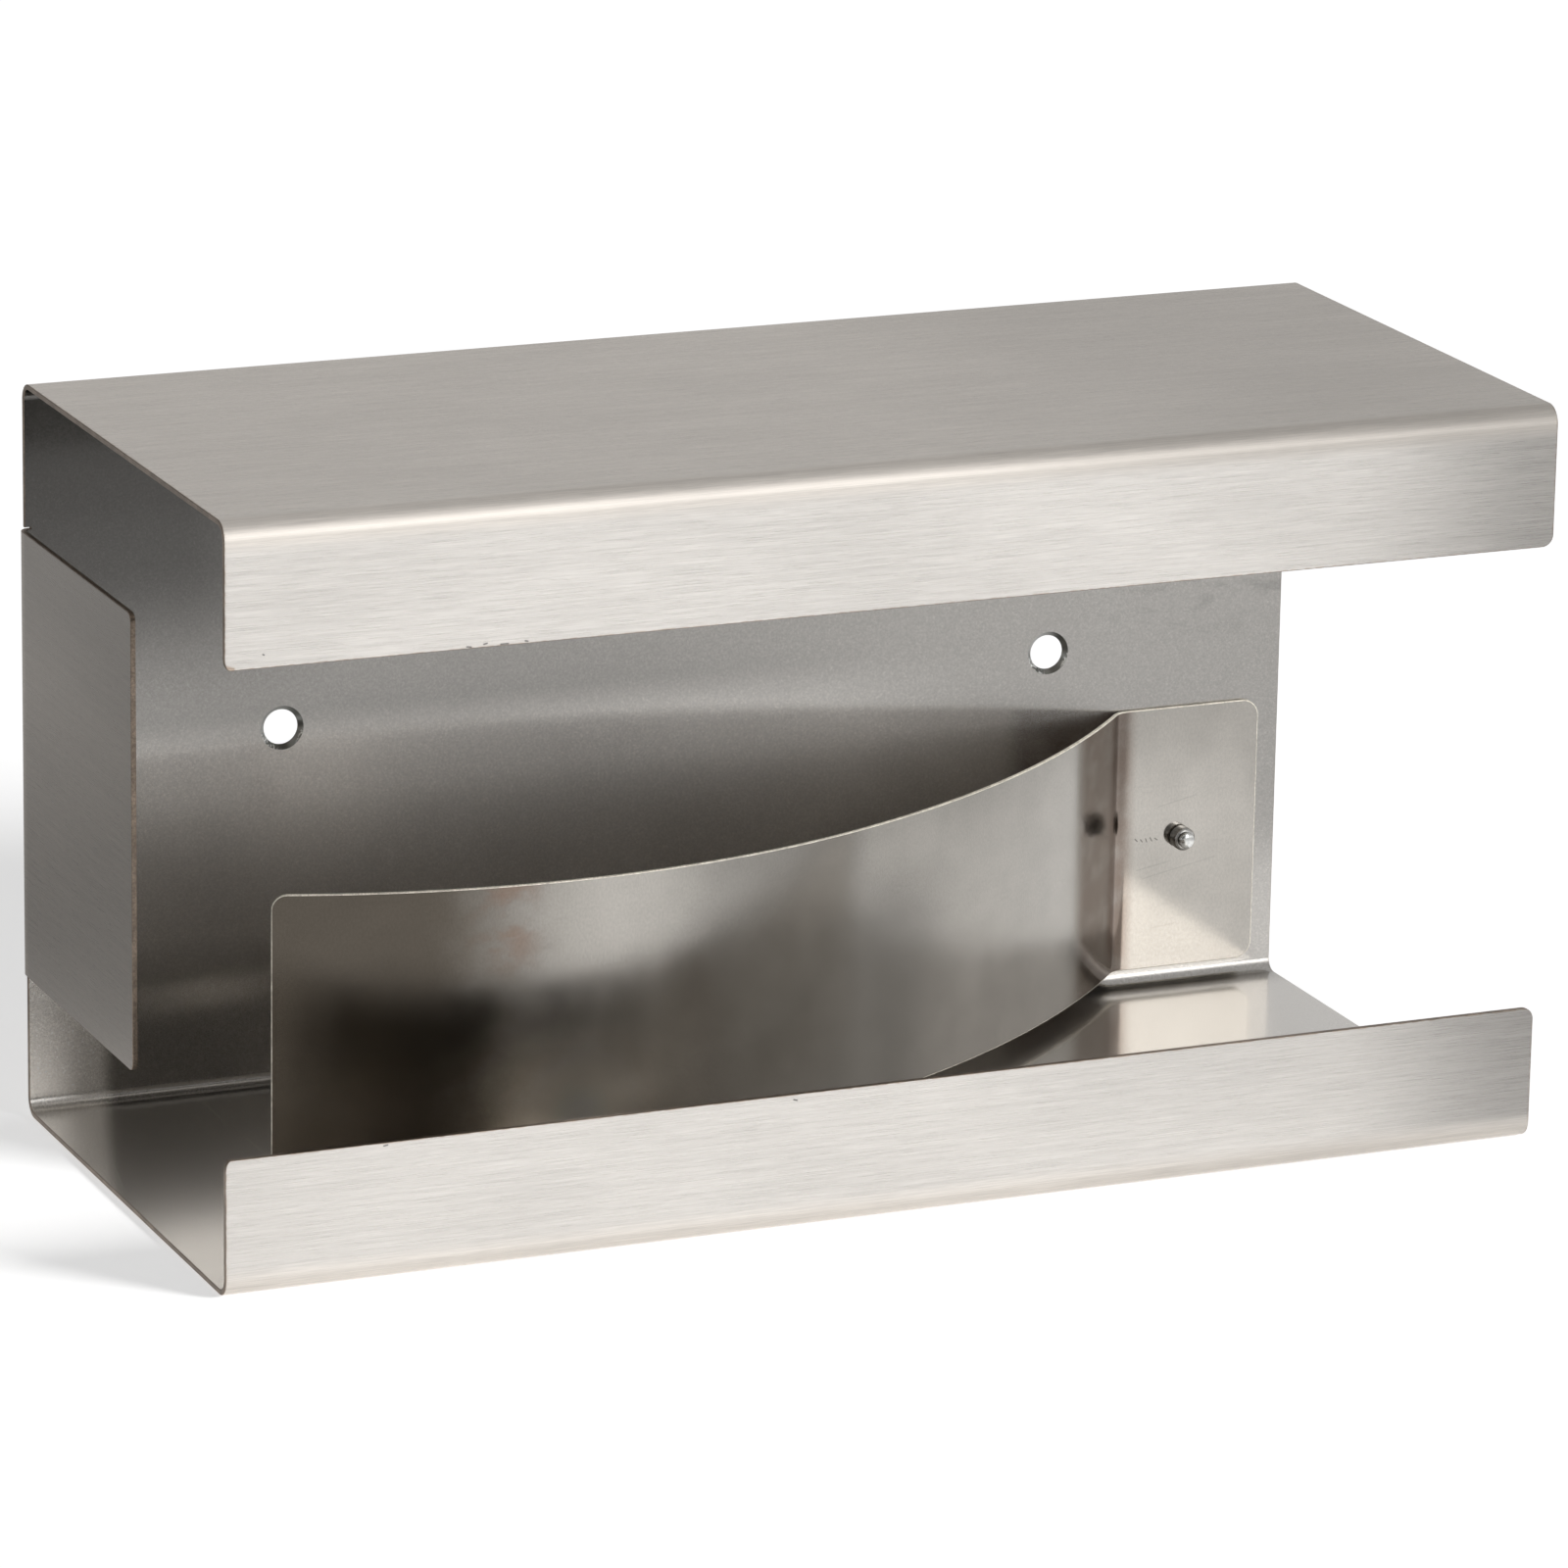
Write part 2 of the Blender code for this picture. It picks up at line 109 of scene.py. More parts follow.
class NodeGraph:
    """A short way to write a material's or a world's nodes."""

    def __init__(self, tree: bpy.types.NodeTree) -> None:
        """Start on a node tree."""
        self.tree = tree

    def add(self, kind: str, **settings: object) -> bpy.types.Node:
        """Add a node.

        Args:
            kind: The node's type, without its ShaderNode prefix.
            **settings: Properties to set on the node.

        Returns:
            The new node.
        """
        node = self.tree.nodes.new(f"ShaderNode{kind}")
        for name, value in settings.items():
            setattr(node, name, value)
        return node

    def put(self, socket: Socket, value: object) -> None:
        """Feed a socket.

        Args:
            socket: The input socket.
            value: Another node's output, or a constant.
        """
        if isinstance(value, Socket):
            self.tree.links.new(value, socket)
        else:
            socket.default_value = value

    def math(self, operation: str, *values: object, clamp: bool = False) -> Socket:
        """Work out one number.

        Args:
            operation: The Math node's operation.
            *values: Its inputs, as sockets or numbers.
            clamp: Whether the result is kept between 0 and 1.

        Returns:
            The result.
        """
        node = self.add("Math", operation=operation, use_clamp=clamp)
        for socket, value in zip(node.inputs, values, strict=False):
            self.put(socket, value)
        return node.outputs[0]

    def product(self, *factors: object) -> Socket:
        """Return the product of some numbers."""
        return reduce(lambda first, second: self.math("MULTIPLY", first, second), factors)

    def total(self, *numbers: object) -> Socket:
        """Return the sum of some numbers."""
        return reduce(lambda first, second: self.math("ADD", first, second), numbers)

    def most(self, *numbers: object) -> Socket:
        """Return the largest of some numbers."""
        return reduce(lambda first, second: self.math("MAXIMUM", first, second), numbers)

    def minus(self, number: object, taken: object) -> Socket:
        """Return one number less another."""
        return self.math("SUBTRACT", number, taken)

    def dimmed(self, *factors: object) -> Socket:
        """Return 1 less the product of some numbers."""
        return self.minus(1.0, self.product(*factors))

    def lifted(self, *factors: object) -> Socket:
        """Return 1 more than the product of some numbers."""
        return self.total(1.0, self.product(*factors))

    def vector(self, operation: str, first: object, second: object) -> Socket:
        """Work on a vector.

        Args:
            operation: The Vector Math node's operation.
            first: The vector, as a socket or three numbers.
            second: The second vector, or the factor of SCALE.

        Returns:
            The result, which is a number for DOT_PRODUCT and DISTANCE.
        """
        node = self.add("VectorMath", operation=operation)
        self.put(node.inputs[0], first)
        self.put(node.inputs["Scale" if operation == "SCALE" else 1], second)
        return node.outputs["Value" if operation in ("DOT_PRODUCT", "DISTANCE") else "Vector"]

    def dot(self, place: Socket, along: Vector | Point) -> Socket:
        """Return how far a place lies along a direction."""
        return self.vector("DOT_PRODUCT", place, along)

    def axes(self, place: Socket) -> tuple[Socket, Socket, Socket]:
        """Return a place's three coordinates."""
        return tuple(self.dot(place, axis) for axis in (X_AXIS, Y_AXIS, Z_AXIS))

    def ramp(
        self, value: Socket, low: float, high: float, to_low: object = 0.0, to_high: object = 1.0
    ) -> Socket:
        """Map a number smoothly from one range to another.

        Args:
            value: The number.
            low: The value that gives to_low.
            high: The value that gives to_high.
            to_low: The result at low.
            to_high: The result at high.

        Returns:
            The result.
        """
        node = self.add("MapRange", interpolation_type="SMOOTHSTEP")
        names = ("Value", "From Min", "From Max", "To Min", "To Max")
        for name, given in zip(names, (value, low, high, to_low, to_high), strict=True):
            self.put(node.inputs[name], given)
        return node.outputs["Result"]

    def fall(self, value: Socket, low: float, high: float) -> Socket:
        """Return a number that falls smoothly from 1 at low to 0 at high."""
        return self.ramp(value, low, high, 1.0, 0.0)

    def noise(self, place: Socket, scale: Point, detail: float = 2.0) -> Socket:
        """Read a noise pattern.

        Args:
            place: The coordinates, in metres.
            scale: How many periods the pattern has in a metre, along each axis.
            detail: The noise's octaves.

        Returns:
            The noise's value, about 0.5 on average.
        """
        stretch = self.add("Mapping")
        self.put(stretch.inputs["Vector"], place)
        self.put(stretch.inputs["Scale"], scale)
        pattern = self.add("TexNoise")
        self.put(pattern.inputs["Vector"], stretch.outputs["Vector"])
        self.put(pattern.inputs["Scale"], 1.0)
        self.put(pattern.inputs["Detail"], detail)
        return pattern.outputs["Fac"]

    def mix(self, share: Socket, first: object, second: object) -> Socket:
        """Mix two colours.

        Args:
            share: How much of the second colour there is.
            first: The first colour, as a socket or three numbers.
            second: The second colour.

        Returns:
            The mixed colour.
        """
        node = self.add("Mix", data_type="RGBA")
        self.put(node.inputs[0], share)
        for socket, colour in ((node.inputs[6], first), (node.inputs[7], second)):
            self.put(socket, colour if isinstance(colour, Socket) else (*colour, 1))
        return node.outputs[2]

    def strokes(self, place: Socket, marks: Marks) -> Socket:
        """Draw short straight marks.

        Args:
            place: The place on the piece, in metres.
            marks: The marks.

        Returns:
            How strongly a place is marked.
        """
        near, far = (share * marks.width * MM for share in marks.softness)
        drawn = []
        for first, last in marks.ends:
            start = Vector(first) * MM
            span = Vector(last) * MM - start
            offset = self.vector("SUBTRACT", place, start)
            share = self.math("ADD", self.dot(offset, span / span.length_squared), 0.0, clamp=True)
            gap = self.vector("DISTANCE", offset, self.vector("SCALE", span, share))
            drawn.append(self.fall(gap, near, far))
        return self.product(self.most(*drawn), marks.strength)

    def rays(self) -> tuple[Socket, Socket]:
        """Return whether a ray is mirrored or passed on, and whether it is the camera's own."""
        rays = self.add("LightPath").outputs
        mirrored = self.math("ADD", rays["Is Glossy Ray"], rays["Is Transmission Ray"], clamp=True)
        return mirrored, rays["Is Camera Ray"]


class MetalGraph(NodeGraph):
    """A metal material with its nodes and its shader."""

    def __init__(self, name: str) -> None:
        """Start a metal material with this name."""
        self.material = bpy.data.materials.new(name)
        self.material.use_nodes = True
        super().__init__(self.material.node_tree)
        self.shader = self.tree.nodes["Principled BSDF"]
        self.shader.inputs["Metallic"].default_value = 1

    def place(self) -> Socket:
        """Return the place on the piece."""
        return self.add("TexCoord").outputs["Object"]

    def blank(self) -> Socket:
        """Return the place on the flat blank."""
        return self.add("UVMap", uv_map=BLANK_MAP).outputs["UV"]

    def paint(self, colour: object, factor: Socket) -> None:
        """Give the shader a colour, as a socket or three numbers, times a factor."""
        self.put(self.shader.inputs["Base Color"], self.vector("SCALE", colour, factor))

    def stretch(self, anisotropy: float, rotation: float = 0.0) -> None:
        """Stretch the highlights.

        Args:
            anisotropy: How much they are stretched.
            rotation: Their direction on the flat blank, in turns.
        """
        self.shader.inputs["Anisotropic"].default_value = anisotropy
        self.shader.inputs["Anisotropic Rotation"].default_value = rotation
        tangent = self.add("Tangent", direction_type="UV_MAP", uv_map=BLANK_MAP)
        self.put(self.shader.inputs["Tangent"], tangent.outputs["Tangent"])

    def roughen(self, height: Socket, strength: float, depth: float) -> bpy.types.Node:
        """Raise a pattern as bump.

        Args:
            height: The pattern.
            strength: How strongly it shows, from 0 to 1.
            depth: The pattern's depth.

        Returns:
            The bump node.
        """
        bump = self.add("Bump")
        bump.inputs["Strength"].default_value = strength
        bump.inputs["Distance"].default_value = depth
        self.put(bump.inputs["Height"], height)
        self.put(self.shader.inputs["Normal"], bump.outputs["Normal"])
        return bump


@dataclass(frozen=True)
class BrushedFinish:
    """Belt-brushed stainless steel, with its grain along the blank, and with painted light and shade by
    region.
    """

    blank_length: float
    blank_width: float
    name: str = "Brushed stainless steel"
    # Painted light and shade: the top panel is painted lighter and warmer than the lips, and the flange
    # warmer, though they are one sheet.
    lip_colour: Colour = (0.62, 0.592, 0.56)
    panel_colour: Colour = (0.67, 0.626, 0.576)
    flange_colour: Colour = (0.64, 0.578, 0.515)
    # Painted shade: the flange is painted darker, more so towards its top.
    flange_fold: Span = mm(-135, -129)
    flange_shade: float = 0.56
    flange_top_dim: Ramp = (*mm(10, 40), 0.0, 0.24)
    # Painted shade at the lips' far end, slightly on the low lip and at the panels' far end; painted
    # highlight along the top lip.
    lip_end_dim: Ramp = (*mm(85, 130), 0.0, 0.40)
    low_lip_dim: Ramp = (*mm(-50, 50), 0.06, 0.0)
    top_lip_lift: Ramp = (*mm(-20, 50), 0.0, 0.15)
    panel_end_dim: Ramp = (*mm(0, 100), 0.0, 0.14)
    heat_tint: Colour = (0.36, 0.25, 0.17)
    heat_strength: float = 0.75
    heat_reach: float = 0.45 * MM
    heat_breaks: Span = (0.4, 0.6)
    off_back: Span = mm(68, 69)
    bend_start: Span = mm(20, 23.5)
    bend_end: Span = mm(27.5, 31)
    bend_haze: float = 0.055
    grain_length: float = 12 * MM
    grain_width: float = 0.18 * MM
    streak_shades: Ramp = (0.36, 0.64, 0.90, 1.08)
    band_shades: Ramp = (0.3, 0.7, 0.96, 1.03)
    cloud_shades: Ramp = (0.3, 0.7, 0.97, 1.02)
    streak_roughness: Ramp = (0.3, 0.7, 0.25, 0.34)
    anisotropy: float = 0.97
    bump_strength: float = 0.2
    bump_depth: float = 0.012 * MM
    stains: Marks = Marks(width=0.7, strength=0.7, ends=(
        ((-130.2, -112, 45.4), (-128.4, -112, 44.8)),
        ((-130.4, -112, 46.4), (-130.1, -112, 48.4)),
    ))
    specks: Marks = Marks(width=0.28, strength=0.7, ends=(
        ((-122.9, -112, 47.0), (-122.7, -112, 46.9)),
        ((-85.0, -112, 44.9), (-84.2, -112, 44.8)),
        ((-81.8, -112, 45.1), (-81.2, -112, 45.2)),
        ((-78.6, -112, 44.8), (-77.2, -112, 44.8)),
        ((-74.0, -112, 45.0), (-73.5, -112, 44.9)),
        ((-100.2, -112, -45.6), (-99.5, -112, -45.5)),
        ((-21.0, -112, -46.0), (-20.4, -112, -46.2)),
    ))

    def _near_cut(self, graph: MetalGraph, blank: Socket, off_middle: Socket, edge: Socket) -> Socket:
        """Return how much the heat of the cut has browned a place on the blank.

        Args:
            graph: The material's graph.
            blank: The place on the flat blank.
            off_middle: How far along the blank it lies from the middle.
            edge: How far it lies from the lips' cut edges.

        Returns:
            The share of the heat tint.
        """
        side_edge = graph.minus(self.blank_width / 2, graph.math("ABSOLUTE", graph.dot(blank, X_AXIS)))
        side = graph.product(
            graph.fall(side_edge, 0.0, self.heat_reach), graph.ramp(off_middle, *self.off_back)
        )
        broken = graph.ramp(graph.noise(blank, (700, 700, 1), 3.0), *self.heat_breaks)
        return graph.product(
            graph.most(graph.fall(edge, 0.0, self.heat_reach), side), broken, self.heat_strength
        )

    def build(self) -> bpy.types.Material:
        """Return the material."""
        graph = MetalGraph(self.name)
        blank, place = graph.blank(), graph.place()
        along, across = 1 / self.grain_length, 1 / self.grain_width
        streaks = graph.noise(blank, (along, across, 1), 3.0)
        threads = graph.noise(blank, (along * 3, across * 2, 1))
        bands = graph.noise(blank, (along / 4, across / 5, 1))
        clouds = graph.noise(blank, (25, 60, 1))
        level = graph.total(graph.product(streaks, 0.6), graph.product(threads, 0.4))
        aside, from_start, _ = graph.axes(blank)
        off_middle = graph.math("ABSOLUTE", graph.minus(from_start, self.blank_length / 2))
        edge = graph.minus(self.blank_length / 2, off_middle)
        height = graph.dot(place, Z_AXIS)
        in_lip = graph.fall(edge, *self.bend_start)
        in_panel = graph.dimmed(in_lip)
        in_top_lip = graph.fall(from_start, *self.bend_start)
        in_flange = graph.fall(aside, *self.flange_fold)
        # The factor holds the grain and the specks, and also the painted shade and painted highlight of
        # the fields above.
        factor = graph.product(
            graph.ramp(level, *self.streak_shades),
            graph.ramp(bands, *self.band_shades),
            graph.ramp(clouds, *self.cloud_shades),
            graph.ramp(aside, *self.flange_fold, self.flange_shade, 1.0),
            graph.dimmed(in_lip, graph.ramp(aside, *self.lip_end_dim)),
            graph.dimmed(in_panel, graph.ramp(aside, *self.panel_end_dim)),
            graph.dimmed(in_flange, graph.ramp(height, *self.flange_top_dim)),
            graph.dimmed(in_lip, graph.ramp(height, *self.low_lip_dim)),
            graph.lifted(in_top_lip, graph.ramp(aside, *self.top_lip_lift)),
            graph.dimmed(graph.strokes(place, self.specks)),
        )
        heat = graph.most(
            self._near_cut(graph, blank, off_middle, edge), graph.strokes(place, self.stains)
        )
        # Painted light and shade: the lips, the panels and the flange get different colours.
        base = graph.mix(in_lip, self.panel_colour, self.lip_colour)
        base = graph.mix(in_flange, base, self.flange_colour)
        graph.paint(graph.mix(heat, base, self.heat_tint), factor)
        haze = graph.product(
            graph.ramp(edge, *self.bend_start, 0.0, self.bend_haze), graph.fall(edge, *self.bend_end)
        )
        rough = graph.total(graph.ramp(level, *self.streak_roughness), haze)
        graph.put(graph.shader.inputs["Roughness"], rough)
        graph.stretch(self.anisotropy, 0.25)
        graph.roughen(level, self.bump_strength, self.bump_depth)
        return graph.material


@dataclass(frozen=True)
class MillFinish:
    """The smooth rolled finish on the inside of the sheet, with painted shade and a painted sheen on the
    back and bottom panels.

    Each patch of painted shade is a ramp along the length, kept to a range of heights.
    """

    name: str = "Mill finish steel"
    colour: Colour = (0.76, 0.732, 0.695)
    pore_roughness: Ramp = (0.44, 0.6, 0.115, 0.42)
    grit_roughness: Ramp = (0.3, 0.7, -0.02, 0.02)
    grit_shades: Ramp = (0.3, 0.7, 0.93, 1.06)
    fleck_shades: Ramp = (0.64, 0.74, 1.0, 1.12)
    smear_shades: Ramp = (0.3, 0.7, 0.98, 1.01)
    # Painted shade darkens the back panel at the upper left corner, over the upper left, towards the
    # right end and at the foot of the left end; a painted sheen lightens the lower middle. The bottom
    # panel is darker towards its left end, and the smudges are real marks.
    back_start: Span = mm(-12, -2)
    corner: Ramp = (*mm(-100, -55), 0.4, 0.0)
    corner_rise: Span = mm(0, 35)
    upper: Ramp = (*mm(-20, 60), 0.4, 0.0)
    upper_rise: Span = mm(-8, 4)
    right: Ramp = (*mm(-20, 60), 0.0, 0.3)
    sheen: Ramp = (*mm(20, 80), 0.28, 0.0)
    sheen_rise: Span = mm(-45, -20)
    foot: Ramp = (*mm(-116.5, -112.5), 0.0, 0.5)
    foot_end: Span = mm(-50, 0)
    foot_fall: Span = mm(-53, -36)
    smudges: Ramp = (0.5, 0.68, 0.0, 0.12)
    smudge_start: Span = mm(75, 105)
    smudge_rise: Span = mm(-4, 12)
    floor: Ramp = (*mm(-60, 0), 0.27, 0.0)
    floor_fall: Span = mm(-69, -66)
    # Painted light: the panels' open left end, under the flange, is painted lighter, and it is also
    # rougher.
    open_end_heading: Point = (1, -0.3, 0)
    open_end_reach: Span = mm(-116.5, -112.5)
    open_end_fall: Span = mm(-44, -40)
    open_end_painted_light: float = 0.25
    open_end_haze: float = 0.14
    bump_strength: float = 0.12
    bump_depth: float = 0.01 * MM
    lean: float = 0.066
    lean_start: float = -46 * MM
    lean_softness: float = 40 * MM
    scratches: Marks = Marks(width=0.3, strength=0.25, ends=(
        ((-97.9, -7.8, -70), (-98.2, -23.2, -70)),
        ((-97.4, -30.3, -70), (-97.2, -39.5, -70)),
        ((-104.0, -48.0, -70), (-92.0, -44.5, -70)),
    ))

    def _painted_shade_and_smudges(self, graph: MetalGraph, place: Socket) -> Socket:
        """Return how bright the back and bottom panels are, with painted shade, a painted sheen and
        smudges.

        Args:
            graph: The material's graph.
            place: The place on the piece.

        Returns:
            The factor for the colour.
        """
        x, y, z = graph.axes(place)
        shade = graph.total(
            graph.product(graph.ramp(x, *self.corner), graph.ramp(z, *self.corner_rise)),
            graph.product(graph.ramp(x, *self.upper), graph.ramp(z, *self.upper_rise)),
            graph.ramp(x, *self.right),
            graph.product(
                graph.ramp(x, *self.foot), graph.fall(x, *self.foot_end), graph.fall(z, *self.foot_fall)
            ),
            graph.product(
                graph.ramp(x, *self.smudge_start),
                graph.ramp(z, *self.smudge_rise),
                graph.ramp(graph.noise(place, (110, 110, 260), 4.0), *self.smudges),
            ),
        )
        sheen = graph.product(
            graph.ramp(x, *self.sheen), graph.fall(z, *self.upper_rise), graph.ramp(z, *self.sheen_rise)
        )
        shade = graph.product(graph.minus(shade, sheen), graph.ramp(y, *self.back_start))
        floor = graph.product(graph.ramp(x, *self.floor), graph.fall(z, *self.floor_fall))
        return graph.dimmed(graph.most(shade, floor))

    def build(self) -> bpy.types.Material:
        """Return the material."""
        graph = MetalGraph(self.name)
        place = graph.place()
        height = graph.dot(place, Z_AXIS)
        grit = graph.noise(place, (2600, 2600, 2600))
        pores = graph.noise(place, (11000, 11000, 11000), 1.0)
        smears = graph.noise(place, (18, 18, 30))
        # Painted light where the panels are open at the left end, with more roughness there.
        open_end = graph.product(
            graph.fall(graph.dot(place, self.open_end_heading), *self.open_end_reach),
            graph.fall(height, *self.open_end_fall),
        )
        # The factor holds the grit, the flecks, the smears and the scratches, and also the painted shade
        # and painted light.
        factor = graph.product(
            graph.ramp(grit, *self.grit_shades),
            graph.ramp(grit, *self.fleck_shades),
            graph.ramp(smears, *self.smear_shades),
            graph.total(self._painted_shade_and_smudges(graph, place), graph.product(open_end, self.open_end_painted_light)),
            graph.lifted(graph.strokes(place, self.scratches)),
        )
        graph.paint(self.colour, factor)
        rough = graph.total(
            graph.ramp(pores, *self.pore_roughness),
            graph.ramp(grit, *self.grit_roughness),
            graph.product(open_end, self.open_end_haze),
        )
        graph.put(graph.shader.inputs["Roughness"], rough)
        leaning = graph.math("SMOOTH_MAX", height, self.lean_start, self.lean_softness)
        lean = graph.add("Bump")
        lean.inputs["Distance"].default_value = 1.0
        graph.put(lean.inputs["Height"], graph.product(leaning, -self.lean))
        bump = graph.roughen(grit, self.bump_strength, self.bump_depth)
        graph.put(bump.inputs["Normal"], lean.outputs["Normal"])
        return graph.material


@dataclass(frozen=True)
class CutEdgeFinish:
    """The edge of cut sheet, slightly browned by the heat of the cut."""

    name: str = "Cut edge"
    colour: Colour = (0.26, 0.208, 0.165)
    roughness: float = 0.42
    metallic: float = 1.0
    tick_shades: Ramp = (0.3, 0.7, 0.72, 1.15)
    burn_shades: Ramp = (0.35, 0.65, 0.8, 1.1)

    def build(self) -> bpy.types.Material:
        """Return the material."""
        graph = MetalGraph(self.name)
        place = graph.place()
        factor = graph.product(
            graph.ramp(graph.noise(place, (3000, 3000, 3000)), *self.tick_shades),
            graph.ramp(graph.noise(place, (350, 350, 350), 3.0), *self.burn_shades),
        )
        graph.paint(self.colour, factor)
        graph.shader.inputs["Roughness"].default_value = self.roughness
        graph.shader.inputs["Metallic"].default_value = self.metallic
        return graph.material


@dataclass(frozen=True)
class BoreFinish:
    """The wall of a drilled and countersunk hole, painted dark as shade, with bright torn flecks."""

    centre_x: float
    name: str = "Drilled hole"
    # Painted shade: the hole's wall is painted dark.
    colour: Colour = (0.24, 0.24, 0.225)
    fleck: Colour = (0.93, 0.93, 0.90)
    roughness: float = 0.3
    low_left: Span = mm(-5.8, -3.8)
    low_right_heading: Span = (0.9, -0.43)
    low_right: Ramp = (*mm(3.7, 4.1), 0.0, 0.8)
    tears: Span = (0.46, 0.56)

    def build(self) -> bpy.types.Material:
        """Return the material."""
        graph = MetalGraph(self.name)
        place = graph.place()
        x, _, z = graph.axes(place)
        x = graph.minus(x, graph.product(graph.math("SIGN", x), self.centre_x))
        across, up = self.low_right_heading
        flecked = graph.most(
            graph.fall(graph.total(x, z), *self.low_left),
            graph.ramp(graph.total(graph.product(x, across), graph.product(z, up)), *self.low_right),
        )
        torn = graph.ramp(graph.noise(place, (2400, 700, 2400), 3.0), *self.tears)
        colour = graph.mix(graph.product(flecked, torn), self.colour, self.fleck)
        graph.put(graph.shader.inputs["Base Color"], colour)
        graph.shader.inputs["Roughness"].default_value = self.roughness
        return graph.material


@dataclass(frozen=True)
class SpringFinish:
    """The satin finish of the spring strip, with painted shade at its fold and towards its tip, and
    painted light on its foot and low tip.

    Lengths run along the flat strip from the foot's end, and heights are in the room.
    """

    name: str = "Satin spring steel"
    colour: Colour = (0.51, 0.484, 0.446)
    roughness: float = 0.19
    roughness_swing: Span = (-0.02, 0.03)
    fold_sharpness: Ramp = (*mm(45, 75), -0.06, 0.0)
    anisotropy: float = 0.4
    grit_shades: Ramp = (0.3, 0.7, 0.95, 1.04)
    smear_shades: Ramp = (0.35, 0.65, 0.95, 1.03)
    mottle_shades: Ramp = (0.3, 0.7, 0.97, 1.02)
    # Painted shade: darker and browner towards the tip.
    tip_shade_colour: Colour = (0.120, 0.104, 0.085)
    tip_painted_shade: Span = mm(184, 222)
    tip_unevenness: float = 12 * MM
    # Painted shade: a browner patch near the tip, towards its top.
    tip_top_shade_colour: Colour = (0.26, 0.165, 0.12)
    tip_top_shade_start: Span = mm(198, 205)
    tip_top_shade_end: Span = mm(207, 216)
    tip_top_shade_rise: Span = mm(-34, -22)
    tip_top_shade_patches: Ramp = (0.42, 0.62, 0.0, 0.5)
    # Painted shade: darker and browner at the fold by the foot.
    fold_shade_colour: Colour = (0.28, 0.225, 0.19)
    fold_start: Span = mm(25.8, 29.5)
    fold_end: Span = mm(49, 55)
    fold_patches: Ramp = (0.25, 0.6, 0.6, 1.0)
    # Painted light: the foot is lighter towards its top and the tip lighter low down; painted shade
    # darkens the middle of the strip.
    foot_lift: Ramp = (*mm(-50, -25), 0.92, 1.27)
    foot_end: Span = mm(27.5, 29)
    low_lift: float = 1.6
    low_start: Span = mm(172, 196)
    low_fall: Span = mm(-58, -38)
    middle_shade_depth: Span = (0.17, 0.44)
    middle_shade_start: Span = mm(40, 60)
    middle_shade_growth: Span = mm(96, 122)
    middle_shade_end: Span = mm(160, 180)
    middle_shade_fall: Span = mm(-34, -16)
    middle_shade_above: Ramp = (*mm(126, 134), 0.12, 0.62)
    ticks: Marks = Marks(width=0.2, strength=0.65, ends=(
        ((99.0, -2.1, -39.7), (99.5, -2.1, -40.2)),
        ((100.2, -2.1, -39.9), (100.6, -2.1, -40.4)),
        ((101.3, -2.1, -39.8), (101.6, -2.1, -40.5)),
        ((102.3, -2.1, -39.7), (102.7, -2.1, -40.4)),
        ((103.3, -2.1, -39.9), (103.9, -2.1, -40.3)),
    ))
    scratches: Marks = Marks(width=0.25, strength=0.1, ends=(
        ((99.6, -2.1, -46.2), (107.0, -2.1, -44.9)),
        ((101.0, -2.1, -48.0), (116.5, -2.1, -45.0)),
        ((104.0, -2.1, -33.5), (112.0, -2.1, -31.8)),
        ((103.0, -2.1, -58.5), (108.5, -2.1, -57.9)),
    ))

    def _painted_light_and_shade(self, graph: MetalGraph, along: Socket, height: Socket) -> Socket:
        """Return how bright the painted light leaves the foot and the low tip, and the painted shade the
        middle.

        Args:
            graph: The material's graph.
            along: The place along the strip.
            height: Its height.

        Returns:
            The factor for the colour.
        """
        foot = graph.ramp(along, *self.foot_end, graph.ramp(height, *self.foot_lift), 1.0)
        low = graph.product(
            graph.ramp(along, *self.low_start, 0.0, self.low_lift), graph.fall(height, *self.low_fall)
        )
        middle_shade = graph.product(
            graph.ramp(along, *self.middle_shade_start),
            graph.ramp(along, *self.middle_shade_growth, *self.middle_shade_depth),
            graph.fall(along, *self.middle_shade_end),
            graph.ramp(height, *self.middle_shade_fall, 1.0, graph.ramp(along, *self.middle_shade_above)),
        )
        return graph.product(foot, graph.lifted(low), graph.dimmed(middle_shade))

    def build(self) -> bpy.types.Material:
        """Return the material."""
        graph = MetalGraph(self.name)
        blank, place = graph.blank(), graph.place()
        grit = graph.noise(blank, (1500, 2500, 1))
        smears = graph.noise(blank, (30, 60, 1), 3.0)
        mottle = graph.noise(blank, (180, 120, 1), 4.0)
        along, height = graph.dot(blank, Y_AXIS), graph.dot(place, Z_AXIS)
        marks = graph.total(graph.strokes(place, self.ticks), graph.strokes(place, self.scratches))
        # The factor holds the grit, smears, mottle and marks, and also the painted light and shade.
        factor = graph.product(
            graph.ramp(grit, *self.grit_shades),
            graph.ramp(smears, *self.smear_shades),
            graph.ramp(mottle, *self.mottle_shades),
            self._painted_light_and_shade(graph, along, height),
            graph.dimmed(marks),
        )
        # Painted shade at the fold.
        fold = graph.product(
            graph.ramp(along, *self.fold_start),
            graph.fall(along, *self.fold_end),
            graph.ramp(mottle, *self.fold_patches),
        )
        uneven = graph.product(graph.minus(mottle, 0.5), self.tip_unevenness)
        tip = graph.ramp(graph.total(along, uneven), *self.tip_painted_shade)
